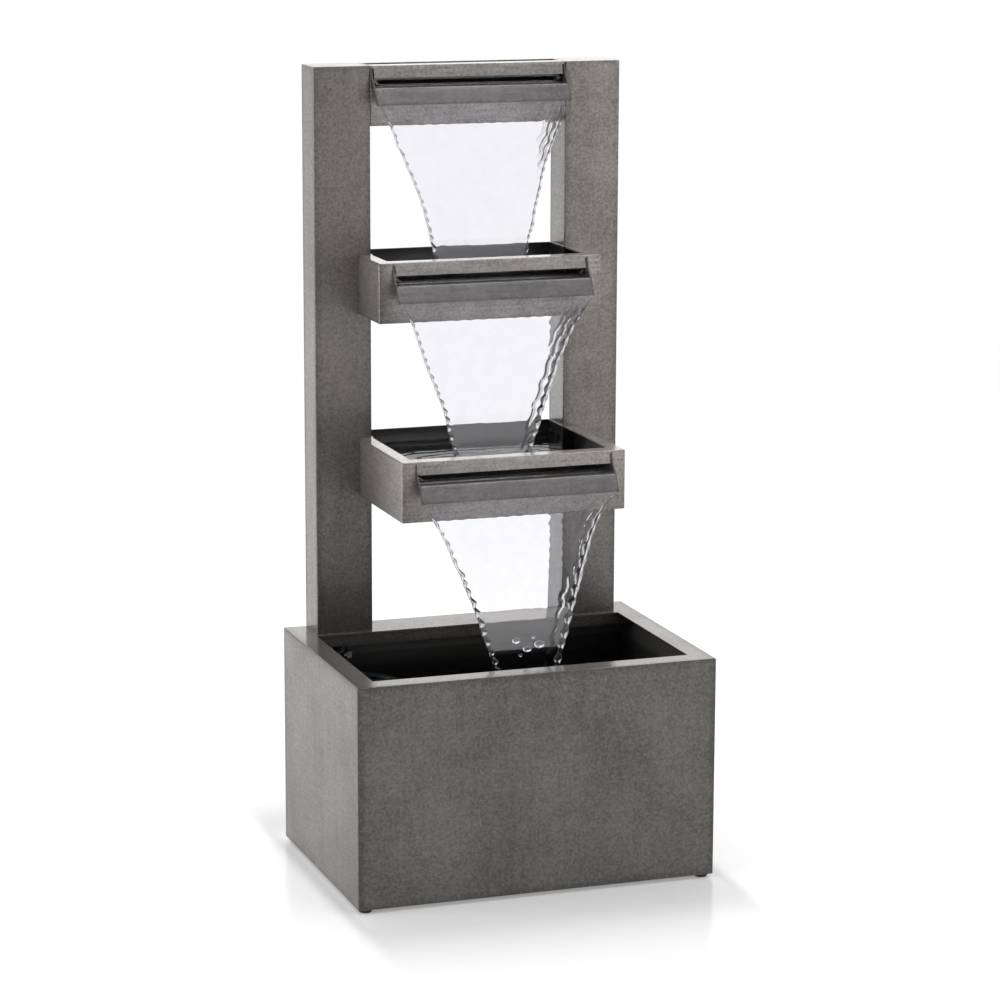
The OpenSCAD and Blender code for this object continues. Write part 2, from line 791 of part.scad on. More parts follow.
module pump_volute() {
  color(plastic) in_pump() difference() {
    union() {
      pump_section(-flange_t, 0, 0);
      rod_y(-drum_l, 0, 0, axis_z, drum_r);
      rod_z(axis_z, nozzle_top, 0, nozzle_y, nozzle_r);
      for (step = [0:3]) translate([0, nozzle_y, nozzle_top - barb_l - barb_pitch * step])
        cylinder(r1 = nozzle_r + barb, r2 = nozzle_r, h = barb_l);
    }
    rod_y(-drum_l + drum_front_t, over, 0, axis_z, chamber_r);
    rod_z(axis_z, nozzle_top + over, 0, nozzle_y, nozzle_r - nozzle_wall);
    // The water's way in, round the front bush's boss and its three arms
    difference() {
      rod_y(-drum_l - over, -drum_l + drum_front_t + over, 0, axis_z, eye_r);
      rod_y(-drum_l - 2 * over, -drum_l + drum_front_t + 2 * over, 0, axis_z, front_bush_r + boss_wall);
      for (a = [90, 210, 330]) translate([0, -drum_l - 2 * over, axis_z]) rotate([0, a, 0])
        translate([0, 0, -arm_w / 2]) cube([chamber_r, drum_front_t + 4 * over, arm_w]);
    }
    rod_y(-drum_l - over, -drum_l + drum_front_t + over, 0, axis_z, front_bush_r + slip);
    at_volute_screws() rod_y(-flange_t - over, over, 0, 0, volute_screw_r + hole_slack);
  }
}

module pump_seal() {
  color(rubber) in_pump() difference() {
    rod_y(0, seal_groove, 0, axis_z, seal_r + seal_w - slip);
    rod_y(-over, seal_groove + over, 0, axis_z, seal_r + slip);
  }
}

module volute_screws() {
  color(steel) in_pump() at_volute_screws() difference() {
    union() {
      rod_y(-flange_t - volute_head_h, -flange_t, 0, 0, 2 * volute_screw_r);
      rod_y(-flange_t, volute_screw_l - flange_t, 0, 0, volute_screw_r);
    }
    translate([0, -flange_t - volute_head_h, 0]) rotate([-90, 0, 0]) driver_cross(volute_screw_r);
  }
}

module rotor_shaft() {
  color(ceramic) in_pump() rod_y(-drum_l + fit, well_l + bush_l - fit, 0, axis_z, shaft_r);
}

module bush(y0, r) {
  color(ceramic) in_pump() difference() {
    rod_y(y0, y0 + bush_l, 0, axis_z, r);
    rod_y(y0 - over, y0 + bush_l + over, 0, axis_z, shaft_r + slip);
  }
}
module rear_bush() { bush(well_l, rear_bush_r); }
module front_bush() { bush(-drum_l, front_bush_r); }

// One backswept blade in section: part of a thin ring between the hub and the rim
module blade_section() {
  sweep = impeller_r * 0.7;
  intersection() {
    difference() {
      translate([0, sweep]) circle(r = sweep + blade_t / 2);
      translate([0, sweep]) circle(r = sweep - blade_t / 2);
    }
    circle(r = impeller_r - blade_inset);
    translate([0, -blade_t]) square([impeller_r, impeller_r + blade_t]);
  }
}

module impeller() {
  color(nylon) in_pump() translate([0, 0, axis_z]) difference() {
    union() {
      rotate([90, 0, 0]) translate([0, 0, -blade_back - disc_t]) cylinder(r = impeller_r, h = disc_t);
      rotate([90, 0, 0]) translate([0, 0, -blade_back - disc_t / 2])
        linear_extrude(blade_back + disc_t / 2 - blade_front)
          for (i = [0:blades - 1]) rotate([0, 0, i * 360 / blades]) blade_section();
      rod_y(blade_front, magnet_y, 0, 0, hub_r);
    }
    rod_y(blade_front - over, magnet_y + over, 0, 0, shaft_r + slip);
  }
}

module rotor_magnet() {
  color(magnet) in_pump() difference() {
    rod_y(magnet_y, magnet_y + magnet_l, 0, axis_z, magnet_r);
    rod_y(magnet_y - over, magnet_y + magnet_l + over, 0, axis_z, shaft_r + slip);
  }
}

// The strainer that pulls off the pump's front, slotted all round
module strainer() {
  back = -flange_t - fit;
  inner_front = strainer_front + strainer_wall;
  pitch = 2 * slot_w;
  slots = floor((pump_h - 2 * corner_r) / pitch / 2);
  color(plastic) in_pump() difference() {
    pump_section(strainer_front, back, 0);
    pump_section(inner_front, back + over, strainer_wall);
    // Round the nozzle, so that the strainer can slide off
    block([-nozzle_gate, -drum_l - over, axis_z], [nozzle_gate, back + over, pump_h + over]);
    // Slots along both sides, and across the front above and below the knob
    for (i = [-slots:slots])
      block([-pump_w, strainer_front + slot_end, axis_z + i * pitch - slot_w / 2],
            [pump_w, back - slot_end, axis_z + i * pitch + slot_w / 2]);
    for (i = [-slots:slots]) if (abs(i) >= knob_rows)
      block([-pump_w / 2 + corner_r, strainer_front - over, axis_z + i * pitch - slot_w / 2],
            [pump_w / 2 - corner_r, inner_front + over, axis_z + i * pitch + slot_w / 2]);
    rod_y(strainer_front - over, inner_front + over, 0, axis_z, knob_stem_r + slip);
  }
}

// Turned about the pump's axis
module turn_knob(angle) {
  translate([0, 0, axis_z]) rotate([0, angle, 0]) translate([0, 0, -axis_z]) children();
}

// The knob outside the strainer, and the shutter behind its front wall
module flow_knob() {
  y1 = strainer_front - fit;
  color(plastic) in_pump() {
    difference() {
      rod_y(y1 - knob_l, y1, 0, axis_z, knob_r);
      for (i = [0:flutes - 1]) turn_knob(i * 360 / flutes)
        rod_y(y1 - knob_l - over, y1 - knob_skirt, knob_r + 0.4 * flute_r, axis_z, flute_r);
    }
    block([-pointer_w / 2, y1 - knob_l - pointer_h, axis_z - pointer_l / 2],
          [pointer_w / 2, y1 - knob_l, axis_z + pointer_l / 2]);
    rod_y(y1, strainer_front + strainer_wall + 2 * fit + shutter_t, 0, axis_z, knob_stem_r);
  }
}

module flow_shutter() {
  y0 = strainer_front + strainer_wall + fit;
  color(plastic) in_pump() difference() {
    rod_y(y0, y0 + shutter_t, 0, axis_z, shutter_r);
    rod_y(y0 - over, y0 + shutter_t + over, 0, axis_z, knob_stem_r + slip / 2);
    for (a = [0, 180]) turn_knob(a)
      block([-slot_w, y0 - over, axis_z + knob_stem_r + port_edge],
            [slot_w, y0 + shutter_t + over, axis_z + shutter_r - port_edge]);
  }
}

// The rubber boot at the back of the motor where its cord goes in
module cord_gland() {
  y0 = pump_l + cap_t;
  color(rubber) in_pump() translate([0, y0, axis_z]) rotate([-90, 0, 0]) difference() {
    union() {
      cylinder(r = gland_foot_r, h = gland_foot_t);
      translate([0, 0, gland_foot_t]) cylinder(r1 = gland_base_r, r2 = gland_tip_r, h = gland_l);
    }
    translate([0, 0, gland_skin]) cylinder(r = cord_r, h = gland_foot_t + gland_l - gland_skin + over);
  }
}

// A suction cup under one lug, held by the button above it
module cup(side, row) {
  x = side * (pump_w / 2 + lug / 2);
  color(rubber) in_pump() translate([x, cup_ys[row], -cup_h]) difference() {
    union() {
      cylinder(r1 = cup_r, r2 = cup_neck_r, h = cup_h);
      cylinder(r = stem_r, h = cup_h + base_t);
      translate([0, 0, cup_h + base_t]) cylinder(r1 = stem_r + button, r2 = stem_r - button, h = button_h);
    }
    translate([0, 0, -slip]) cylinder(r1 = cup_r - cup_rim, r2 = cup_tip_r, h = cup_h / 2);
  }
}
module cup_front_left() { cup(-1, 0); }
module cup_front_right() { cup(1, 0); }
module cup_rear_left() { cup(-1, 1); }
module cup_rear_right() { cup(1, 1); }

reservoir_tub();
post_bearer();
cord_grommet();
foot_front_left();
foot_front_right();
foot_rear_left();
foot_rear_right();
left_post();
right_post();
left_post_cover();
right_post_cover();
cover_screws();
left_post_foot();
right_post_foot();
post_bolts();
post_washers();
header_trough();
middle_tray();
lower_tray();
header_spout();
middle_spout();
lower_spout();
header_screws();
middle_tray_screws();
lower_tray_screws();
header_nuts();
middle_tray_nuts();
lower_tray_nuts();
riser_pipe();
riser_grommet();
inlet_grommet();
pump_hose();
pump_hose_clamp();
riser_hose_clamp();
pump_clamp_screw();
riser_clamp_screw();
motor_housing();
pump_volute();
pump_seal();
volute_screws();
rotor_shaft();
rear_bush();
front_bush();
impeller();
rotor_magnet();
strainer();
flow_knob();
flow_shutter();
cord_gland();
cup_front_left();
cup_front_right();
cup_rear_left();
cup_rear_right();
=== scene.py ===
# %% [markdown]
# # A three-tier sheet-metal fountain
# The fountain is a reservoir, two box posts and three troughs, all folded from zinc-coated
# sheet. Water falls from each trough in a thin clear sheet. The exact solids come from the
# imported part, so this lesson only dresses them: rounded folds, metal finishes and water.

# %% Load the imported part
import json
import math

import bmesh
import bpy
from mathutils import Matrix, Vector, noise
from mathutils.bvhtree import BVHTree


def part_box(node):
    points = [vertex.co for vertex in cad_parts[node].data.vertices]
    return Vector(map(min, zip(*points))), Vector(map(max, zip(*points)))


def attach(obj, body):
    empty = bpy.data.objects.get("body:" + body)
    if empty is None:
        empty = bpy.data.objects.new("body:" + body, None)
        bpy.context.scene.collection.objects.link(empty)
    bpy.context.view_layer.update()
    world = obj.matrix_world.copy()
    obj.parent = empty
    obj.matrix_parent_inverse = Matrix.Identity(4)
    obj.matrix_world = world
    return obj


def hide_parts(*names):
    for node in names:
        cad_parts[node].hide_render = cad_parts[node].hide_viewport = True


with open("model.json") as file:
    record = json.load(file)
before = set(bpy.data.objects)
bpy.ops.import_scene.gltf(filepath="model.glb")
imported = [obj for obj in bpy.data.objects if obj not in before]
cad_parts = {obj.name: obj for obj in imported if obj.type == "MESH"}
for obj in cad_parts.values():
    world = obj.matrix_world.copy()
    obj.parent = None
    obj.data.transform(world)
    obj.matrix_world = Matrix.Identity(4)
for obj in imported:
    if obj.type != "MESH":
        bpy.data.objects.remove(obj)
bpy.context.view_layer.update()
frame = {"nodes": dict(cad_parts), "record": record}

nodes = frame["nodes"]
bodies = frame["record"]["behaviour"]["bodies"]
body_of_node = {node: body for body, names in bodies.items() for node in names}

# %% [markdown]
# ## The camera
# The photograph was taken from a little above and to the left, with a long lens, so upright
# lines stay nearly parallel. A far camera with a narrow view gives the same look.

# %% Camera
SENSOR = 36.0
FOCAL_PX = 3397.5
PHOTO_PX = 1000
CAMERA_PLACE = (-1.5013, -4.2964, 1.4465)
TURN, DOWN, ROLL = math.radians(-19.318), math.radians(11.618), math.radians(0.183)
FARTHEST = 50


def make_camera():
    data = bpy.data.cameras.new("photo_camera")
    data.sensor_width = SENSOR
    data.lens = FOCAL_PX * SENSOR / PHOTO_PX
    data.clip_end = FARTHEST
    camera = bpy.data.objects.new("photo_camera", data)
    camera.location = CAMERA_PLACE
    level = Matrix.Rotation(TURN, 3, "Z") @ Matrix.Rotation(math.pi / 2 - DOWN, 3, "X")
    camera.rotation_euler = (level @ Matrix.Rotation(ROLL, 3, "Z")).to_euler()
    bpy.context.scene.collection.objects.link(camera)
    bpy.context.scene.camera = camera
    return camera


bpy.context.scene.view_settings.view_transform = "Standard"
camera = make_camera()
print("lens, mm:", round(camera.data.lens, 1))

# %% [markdown]
# ## Small helpers for node trees
# Each finish is a tree of shader nodes. These helpers add a node with its settings and join
# sockets, so that every tree below reads as a short list of steps.

# %% Node helpers


def add(tree, kind, settings=None, **inputs):
    """One node, its settings, and its inputs as values or as sockets to join.

    An input goes by its name, with _ for a space, or by its number, as i0 or i1.
    """
    node = tree.nodes.new(kind)
    for key, value in (settings or {}).items():
        setattr(node, key, value)
    for key, value in inputs.items():
        numbered = key[0] == "i" and key[1:].isdigit()
        socket = node.inputs[int(key[1:]) if numbered else key.replace("_", " ")]
        if isinstance(value, bpy.types.NodeSocket):
            tree.links.new(value, socket)
        else:
            socket.default_value = value
    return node


def maths(tree, operation, a, b=0.0, c=0.0):
    return add(tree, "ShaderNodeMath", {"operation": operation}, i0=a, i1=b, i2=c).outputs[0]


def vectors(tree, operation, a, b=(0, 0, 0)):
    return add(tree, "ShaderNodeVectorMath", {"operation": operation}, i0=a, i1=b).outputs[0]


def scaled(tree, vector, scale):
    settings = {"operation": "SCALE"}
    return add(tree, "ShaderNodeVectorMath", settings, i0=vector, Scale=scale).outputs[0]


def split(tree, vector):
    """The x, y and z sockets of a vector."""
    return add(tree, "ShaderNodeSeparateXYZ", i0=vector).outputs


def spread(tree, value, low, high, to_low=0.0, to_high=1.0):
    """A value from one range laid over another, held inside it."""
    ends = {"i1": low, "i2": high, "i3": to_low, "i4": to_high}
    return add(tree, "ShaderNodeMapRange", i0=value, **ends).outputs[0]


def ramp(tree, value, stops):
    node = add(tree, "ShaderNodeValToRGB", i0=value)
    while len(node.color_ramp.elements) < len(stops):
        node.color_ramp.elements.new(0.5)
    for element, (place, colour) in zip(node.color_ramp.elements, stops):
        element.position = place
        element.color = (*colour, 1)
    return node.outputs["Color"]


def mottle(tree, place, scale, detail, roughness):
    """Soft noise over a place, mostly between 0.3 and 0.7."""
    settings = {"Scale": scale, "Detail": detail, "Roughness": roughness}
    return add(tree, "ShaderNodeTexNoise", Vector=place, **settings).outputs[0]


print("node helpers: 8")

# %% [markdown]
# A finish that several pieces share becomes a node group, with its own sockets, and each
# piece's material then sets that group's values.

# %% Materials and groups


def new_material(name):
    material = bpy.data.materials.new(name)
    material.use_nodes = True
    tree = material.node_tree
    tree.nodes.clear()
    shader = add(tree, "ShaderNodeBsdfPrincipled")
    out = add(tree, "ShaderNodeOutputMaterial")
    tree.links.new(shader.outputs[0], out.inputs["Surface"])
    return material, tree, shader


def new_group(name, inputs, outputs):
    """A shader node group with named sockets, each given as (name, kind, default)."""
    group = bpy.data.node_groups.new(name, "ShaderNodeTree")
    for label, kind, default in inputs:
        kind = "NodeSocket" + kind
        socket = group.interface.new_socket(label, in_out="INPUT", socket_type=kind)
        if default is not None:
            socket.default_value = default
    for label, kind in outputs:
        group.interface.new_socket(label, in_out="OUTPUT", socket_type="NodeSocket" + kind)
    given = group.nodes.new("NodeGroupInput").outputs
    return group, given, group.nodes.new("NodeGroupOutput").inputs


def place_group(tree, group, **inputs):
    return add(tree, "ShaderNodeGroup", {"node_tree": group}, **inputs)


def bump_to(tree, shader, height, strength, depth):
    """Bump from a height of 0 to 1 that stands for a depth in metres."""
    bump = add(tree, "ShaderNodeBump", Strength=strength, Distance=depth, Height=height)
    tree.links.new(bump.outputs[0], shader.inputs["Normal"])


print("materials so far:", len(bpy.data.materials))

# %% [markdown]
# ## Floor, backdrop and light
# A white studio surrounds the fountain. The zinc has no colour of its own to show: it looks
# dark where it mirrors the dim side of the room and light where it mirrors the white wall.
# So the world is white to the camera, white or dim to mirrors by direction, and dim as a lamp.

# %% World
LAMP_WORLD = 0.42
ROOM_DIM = 0.30
# Where the white wall and the bright ceiling begin and are full, as parts of a direction
WALL = (-0.2, 0.4)
CEILING = (0.5, 0.9)


def make_world():
    world = bpy.data.worlds.new("studio")
    bpy.context.scene.world = world
    world.use_nodes = True
    tree = world.node_tree
    tree.nodes.clear()
    path = add(tree, "ShaderNodeLightPath").outputs
    seen = maths(tree, "MAXIMUM", path["Is Camera Ray"], path["Is Transmission Ray"])
    # Mirrors see a white wall behind the fountain, a bright ceiling, and a dim room in front
    _, y, z = split(tree, add(tree, "ShaderNodeTexCoord").outputs["Generated"])
    wall = spread(tree, y, *WALL)
    ceiling = spread(tree, z, *CEILING, ROOM_DIM, 1.0)
    room = maths(tree, "MAXIMUM", wall, ceiling)
    mirrored = maths(tree, "MULTIPLY", path["Is Glossy Ray"], room)
    strength = maths(tree, "MAXIMUM", maths(tree, "MAXIMUM", seen, mirrored), LAMP_WORLD)
    background = add(tree, "ShaderNodeBackground", Color=(1, 1, 1, 1), Strength=strength)
    out = add(tree, "ShaderNodeOutputWorld")
    tree.links.new(background.outputs[0], out.inputs["Surface"])
    return world


print("world:", make_world().name)

# %% [markdown]
# The floor is glossy white paper. It keeps the fountain's mirror image and contact shadow
# near the base and turns pure white a hand's width out, so its glow grows with the distance
# from the reservoir's footprint, slowly in front and at once at the sides.

# %% Floor paper
PAPER, PAPER_ROUGH, PAPER_GLOSS = (0.86, 0.86, 0.86, 1), 0.16, 0.35
# The glow at distances from the footprint, in metres, up to the reach. Its rise right at the
# base is painted light over the contact shadow.
GLOW = [(0.0, 0.24), (0.04, 0.19), (0.08, 0.15), (0.115, 0.18), (0.155, 0.25), (0.2, 0.32),
        (0.26, 0.38)]
GLOW_REACH = 0.4
SIDE_HASTE = 8.0
# The glow that mirrors see, as (from y, to y, glow at the first, glow at the second)
BEHIND = (-1.5, 1.0, 0.22, 0.7)
FAR_IN_FRONT = (-5.5, -2.5, 0.45, 0.22)


def from_footprint(tree, place):
    """Distance out from the reservoir's footprint, in metres, with the sides counted faster."""
    tub_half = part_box("reservoir_tub")[1]
    x, y, _ = split(tree, vectors(tree, "ABSOLUTE", place))
    side = maths(tree, "MAXIMUM", maths(tree, "SUBTRACT", x, tub_half.x), 0.0)
    side = maths(tree, "MULTIPLY", side, SIDE_HASTE)
    front = maths(tree, "MAXIMUM", maths(tree, "SUBTRACT", y, tub_half.y), 0.0)
    flat = add(tree, "ShaderNodeCombineXYZ", i0=side, i1=front).outputs[0]
    length = add(tree, "ShaderNodeVectorMath", {"operation": "LENGTH"}, i0=flat)
    return length.outputs["Value"]


def make_paper():
    material, tree, shader = new_material("floor_paper")
    shader.inputs["Base Color"].default_value = PAPER
    shader.inputs["Roughness"].default_value = PAPER_ROUGH
    shader.inputs["Specular IOR Level"].default_value = PAPER_GLOSS
    path = add(tree, "ShaderNodeLightPath").outputs
    place = add(tree, "ShaderNodeTexCoord").outputs["Object"]
    back = split(tree, place)["Y"]
    room = maths(tree, "MAXIMUM", spread(tree, back, *BEHIND), spread(tree, back, *FAR_IN_FRONT))
    glossy = maths(tree, "SUBTRACT", path["Is Glossy Ray"], path["Is Transmission Ray"])
    mirrored = maths(tree, "MULTIPLY", glossy, room)
    away = spread(tree, from_footprint(tree, place), 0.0, GLOW_REACH)
    glow = ramp(tree, away, [(d / GLOW_REACH, (g, g, g)) for d, g in GLOW])
    straight = maths(tree, "MAXIMUM", path["Is Camera Ray"], path["Is Transmission Ray"])
    seen = maths(tree, "MULTIPLY", straight, glow)
    shader.inputs["Emission Color"].default_value = (1, 1, 1, 1)
    tree.links.new(maths(tree, "MAXIMUM", mirrored, seen), shader.inputs["Emission Strength"])
    return material


paper = make_paper()
print("paper:", paper.name, len(paper.node_tree.nodes), "nodes")

# %% [markdown]
# The paper itself is one flat square. Far out it is as white as the backdrop, so its edge
# doesn't show from the photograph's side.

# %% Floor
FLOOR_HALF = 6.0


def make_floor():
    plane = bmesh.new()
    bmesh.ops.create_grid(plane, x_segments=1, y_segments=1, size=FLOOR_HALF)
    mesh = bpy.data.meshes.new("floor")
    plane.to_mesh(mesh)
    plane.free()
    mesh.materials.append(paper)
    floor = bpy.data.objects.new("floor", mesh)
    bpy.context.scene.collection.objects.link(floor)
    return floor


floor = make_floor()
print("floor, metres across:", 2 * FLOOR_HALF)

# %% [markdown]
# Three soft boxes light it: a wide one overhead, one at the left, and one at the right that
# the right-hand post and the reservoir's right half mirror. The one overhead stays out of
# mirrors, because the bright ceiling is there already.

# %% Lamps


def soft_box(name, place, target, width, height, watts):
    data = bpy.data.lights.new(name, "AREA")
    data.shape = "RECTANGLE"
    data.size, data.size_y = width, height
    data.energy = watts
    lamp = bpy.data.objects.new(name, data)
    lamp.location = place
    lamp.rotation_euler = (Vector(target) - Vector(place)).to_track_quat("-Z", "Y").to_euler()
    bpy.context.scene.collection.objects.link(lamp)
    return lamp


soft_box("overhead_box", (0.1, 0.1, 3.2), (0, 0, 0.4), 2.4, 2.0, 36).visible_glossy = False
soft_box("left_box", (-2.8, 0.2, 1.3), (0, 0, 0.6), 1.2, 2.2, 33)
soft_box("right_box", (1.6, -1.9, 0.95), (0.1, 0, 0.6), 1.1, 1.7, 7)

# %% [markdown]
# ## Zinc sheet
# The sheet is galvanised steel with a dark wash. Close up it has a fine speckle, wider
# clouds where the wash dried unevenly, faint runs, and darker edges. A node group holds all
# of these, so the tub, the posts and the troughs share one finish with their own values.

# %% Zinc wash
CLOUD_SHARE, BLOT_SHARE, GRAIN_SHARE = 1.1, 0.35, 1.6
EDGE_SHARE = 0.4
RUN_STRETCH = (1, 1, 0.06)
BRUSH_STRETCH = (0.1, 0.1, 1)
ROUGH_DARK, ROUGH_LIGHT = 0.44, 0.34


def make_zinc_group():
    group, given, out = new_group(
        "zinc_wash",
        [("Place", "Vector", None), ("Edge", "Float", 1.0),
         ("Dark", "Color", (0.08, 0.075, 0.07, 1)), ("Light", "Color", (0.2, 0.19, 0.18, 1)),
         ("Runs", "Float", 0.5), ("Brush", "Float", 0.5)],
        [("Color", "Color"), ("Roughness", "Float"), ("Height", "Float")],
    )
    place = given["Place"]
    clouds = mottle(group, place, 9.0, 4.0, 0.55)
    blots = mottle(group, place, 95.0, 3.0, 0.6)
    grain = mottle(group, place, 300.0, 2.0, 0.5)
    tall = add(group, "ShaderNodeMapping", Vector=place, Scale=RUN_STRETCH).outputs[0]
    runs = mottle(group, tall, 85.0, 3.0, 0.6)
    wide = add(group, "ShaderNodeMapping", Vector=place, Scale=BRUSH_STRETCH).outputs[0]
    brush = mottle(group, wide, 260.0, 2.0, 0.5)
    mix = 0.5
    for layer, share in ((clouds, CLOUD_SHARE), (blots, BLOT_SHARE), (grain, GRAIN_SHARE),
                         (runs, given["Runs"]), (brush, given["Brush"])):
        part = maths(group, "MULTIPLY", maths(group, "SUBTRACT", layer, 0.5), share)
        mix = maths(group, "ADD", mix, part)
    # Darker near the edges of the piece's own box
    mix = maths(group, "SUBTRACT", mix, maths(group, "MULTIPLY", given["Edge"], EDGE_SHARE))
    blend = add(group, "ShaderNodeMix", {"data_type": "RGBA"}, Factor=mix)
    blend.clamp_factor = True
    group.links.new(given["Dark"], blend.inputs["A"])
    group.links.new(given["Light"], blend.inputs["B"])
    group.links.new(blend.outputs["Result"], out["Color"])
    group.links.new(spread(group, mix, 0.1, 0.9, ROUGH_DARK, ROUGH_LIGHT), out["Roughness"])
    fine, coarse = maths(group, "MULTIPLY", grain, 0.6), maths(group, "MULTIPLY", blots, 0.4)
    group.links.new(maths(group, "ADD", fine, coarse), out["Height"])
    return group


zinc_wash = make_zinc_group()
print("group:", zinc_wash.name, len(zinc_wash.nodes), "nodes")

# %% [markdown]
# The dark line along each edge comes from the point's distance to the edges of the piece's
# own box, which needs no painted map. Noise breaks the line up.

# %% Edges of a box
EDGE_REACH_LOW, EDGE_REACH_SWING = 0.3, 1.6


def make_edge_group():
    """How near a point is to the edges of an upright box: 0 in the middle, 1 on an edge."""
    group, given, out = new_group(
        "box_edges",
        [("Place", "Vector", None), ("Middle", "Vector", None), ("Half", "Vector", None),
         ("Reach", "Float", 0.012)],
        [("Edge", "Float")],
    )
    away = vectors(group, "SUBTRACT", given["Place"], given["Middle"])
    away = vectors(group, "ABSOLUTE", away)
    x, y, z = split(group, vectors(group, "SUBTRACT", given["Half"], away))
    low, high = maths(group, "MINIMUM", x, y), maths(group, "MAXIMUM", x, y)
    second = maths(group, "MAXIMUM", low, maths(group, "MINIMUM", high, z))
    broken = mottle(group, given["Place"], 60.0, 3.0, 0.5)
    broken = maths(group, "MULTIPLY_ADD", broken, EDGE_REACH_SWING, EDGE_REACH_LOW)
    near = maths(group, "DIVIDE", second, maths(group, "MULTIPLY", given["Reach"], broken))
    group.links.new(spread(group, near, 0.0, 1.0, 1.0, 0.0), out["Edge"])
    return group


box_edges = make_edge_group()
print("group:", box_edges.name, len(box_edges.nodes), "nodes")

# %% [markdown]
# In the photograph top faces are lighter, and the foot of a piece and the left end of its
# front are darker. Here they are painted light and shade: a painted highlight on top faces,
# and painted shade at the foot, on left-facing sides and at the left end of fronts. The
# direction that a face looks in and the height pick these out.

# %% Painted light and shade by face and height
# Painted shade: the share of colour that left-facing sides keep
SIDE_PAINTED_SHADE = 0.82
LEFT_REACH = 0.025
TURNING, TURNED = 0.6, 0.97


def facing(tree):
    """How far a face looks up, to the front and to the left, each from 0 to 1."""
    x, y, z = split(tree, add(tree, "ShaderNodeNewGeometry").outputs["Normal"])
    front = spread(tree, y, -TURNED, -TURNING, 1.0, 0.0)
    side = spread(tree, x, -TURNED, -TURNING, 1.0, 0.0)
    return spread(tree, z, TURNING, TURNED), front, side


def paint_light_and_shade(tree, place, box, foot, left, top_highlight, faces):
    """Painted shade at the foot, on left-facing sides and at the left end of front faces, and a
    painted highlight on top.
    """
    low, high = box
    top, front, side = faces
    x, _, z = split(tree, place)
    # Painted shade towards the left end of front faces
    end = spread(tree, x, low.x, low.x + LEFT_REACH, left, 1.0)
    end = maths(tree, "MULTIPLY_ADD", maths(tree, "SUBTRACT", end, 1.0), front, 1.0)
    # A painted highlight on top faces, and painted shade on left-facing sides
    painted_top = spread(tree, top, 0.0, 1.0, 1.0, top_highlight)
    painted_side = spread(tree, side, 0.0, 1.0, 1.0, SIDE_PAINTED_SHADE)
    tone = maths(tree, "MULTIPLY", end, maths(tree, "MULTIPLY", painted_top, painted_side))
    # Painted shade towards the foot of the piece
    return maths(tree, "MULTIPLY", tone, spread(tree, z, low.z, high.z, foot, 1.0)), z


print("top faces begin at", round(math.degrees(math.acos(TURNING))), "degrees of tilt")

# %% [markdown]
# One function then makes the zinc of any piece. The insides of the tub and the troughs are
# painted dark, painted shade of these hollows, and the tub's is darker still below its
# waterline, painted shade under the water.

# %% Zinc finish
MM = 0.001
WASH_DARK = Vector((0.106, 0.099, 0.093))
WASH_LIGHT = Vector((0.227, 0.213, 0.202))
# Painted shade in the hollows inside the troughs
HOLLOW_SHADE_COLOUR = (0.010, 0.0096, 0.0092)
# Share of the inside colour left below a waterline: painted shade under the water
UNDERWATER_SHADE = 0.3
TIDE_HALF = 1.5 * MM
TOP_ROUGH = 0.5
METAL_SHARE, HOLLOW_METAL_SHARE = 0.7, 0.1
ZINC_BUMP, ZINC_DEPTH = 0.10, 0.0006
LACQUER_ROUGH = 0.1


def zinc(name, node, tone=1.0, foot=1.0, left=1.0, runs=0.35, brush=0.0, reach=0.010,
         gloss=0.6, top_highlight=1.8, hollow_shade=HOLLOW_SHADE_COLOUR, tide=None):
    """The zinc finish for one piece, darker near the edges of its own box.

    Faces marked 'inside' get painted shade of the hollow, darker still below the tide as painted
    shade under the water. The tone lightens the whole piece, partly as painted light; a painted
    highlight lifts its top faces, and foot and left paint shade on its lower and left ends.
    """
    material, tree, shader = new_material(name)
    low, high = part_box(node)
    place = add(tree, "ShaderNodeTexCoord").outputs["Object"]
    middle, half = (low + high) / 2, (high - low) / 2
    edges = place_group(tree, box_edges, Place=place, Middle=middle, Half=half, Reach=reach)
    wash = place_group(tree, zinc_wash, Place=place, Edge=edges.outputs["Edge"],
                       Dark=(*WASH_DARK * tone, 1), Light=(*WASH_LIGHT * tone, 1),
                       Runs=runs, Brush=brush).outputs
    faces = facing(tree)
    share, up = paint_light_and_shade(tree, place, (low, high), foot, left, top_highlight, faces)
    # The wash with its painted light and shade
    colour_with_painted_light = scaled(tree, wash["Color"], share)
    # Painted shade under the water, and painted shade of the hollow on faces marked 'inside'
    shade_under_water = spread(tree, up, tide - TIDE_HALF, tide + TIDE_HALF, UNDERWATER_SHADE, 1.0) if tide else 1.0
    hollow_colour = scaled(tree, hollow_shade, shade_under_water)
    inside = add(tree, "ShaderNodeAttribute", {"attribute_name": "inside"}).outputs["Fac"]
    blend = add(tree, "ShaderNodeMix", {"data_type": "VECTOR"}, Factor=inside, A=colour_with_painted_light, B=hollow_colour)
    tree.links.new(blend.outputs[1], shader.inputs["Base Color"])
    polish = spread(tree, faces[0], 0.0, 1.0, 1.0, TOP_ROUGH)
    smooth = maths(tree, "MULTIPLY", wash["Roughness"], polish)
    tree.links.new(smooth, shader.inputs["Roughness"])
    metal = spread(tree, inside, 0.0, 1.0, METAL_SHARE, HOLLOW_METAL_SHARE)
    tree.links.new(metal, shader.inputs["Metallic"])
    bump_to(tree, shader, wash["Height"], ZINC_BUMP, ZINC_DEPTH)
    shader.inputs["Coat Weight"].default_value = gloss
    shader.inputs["Coat Roughness"].default_value = LACQUER_ROUGH
    return material


print("groups:", [g.name for g in bpy.data.node_groups])

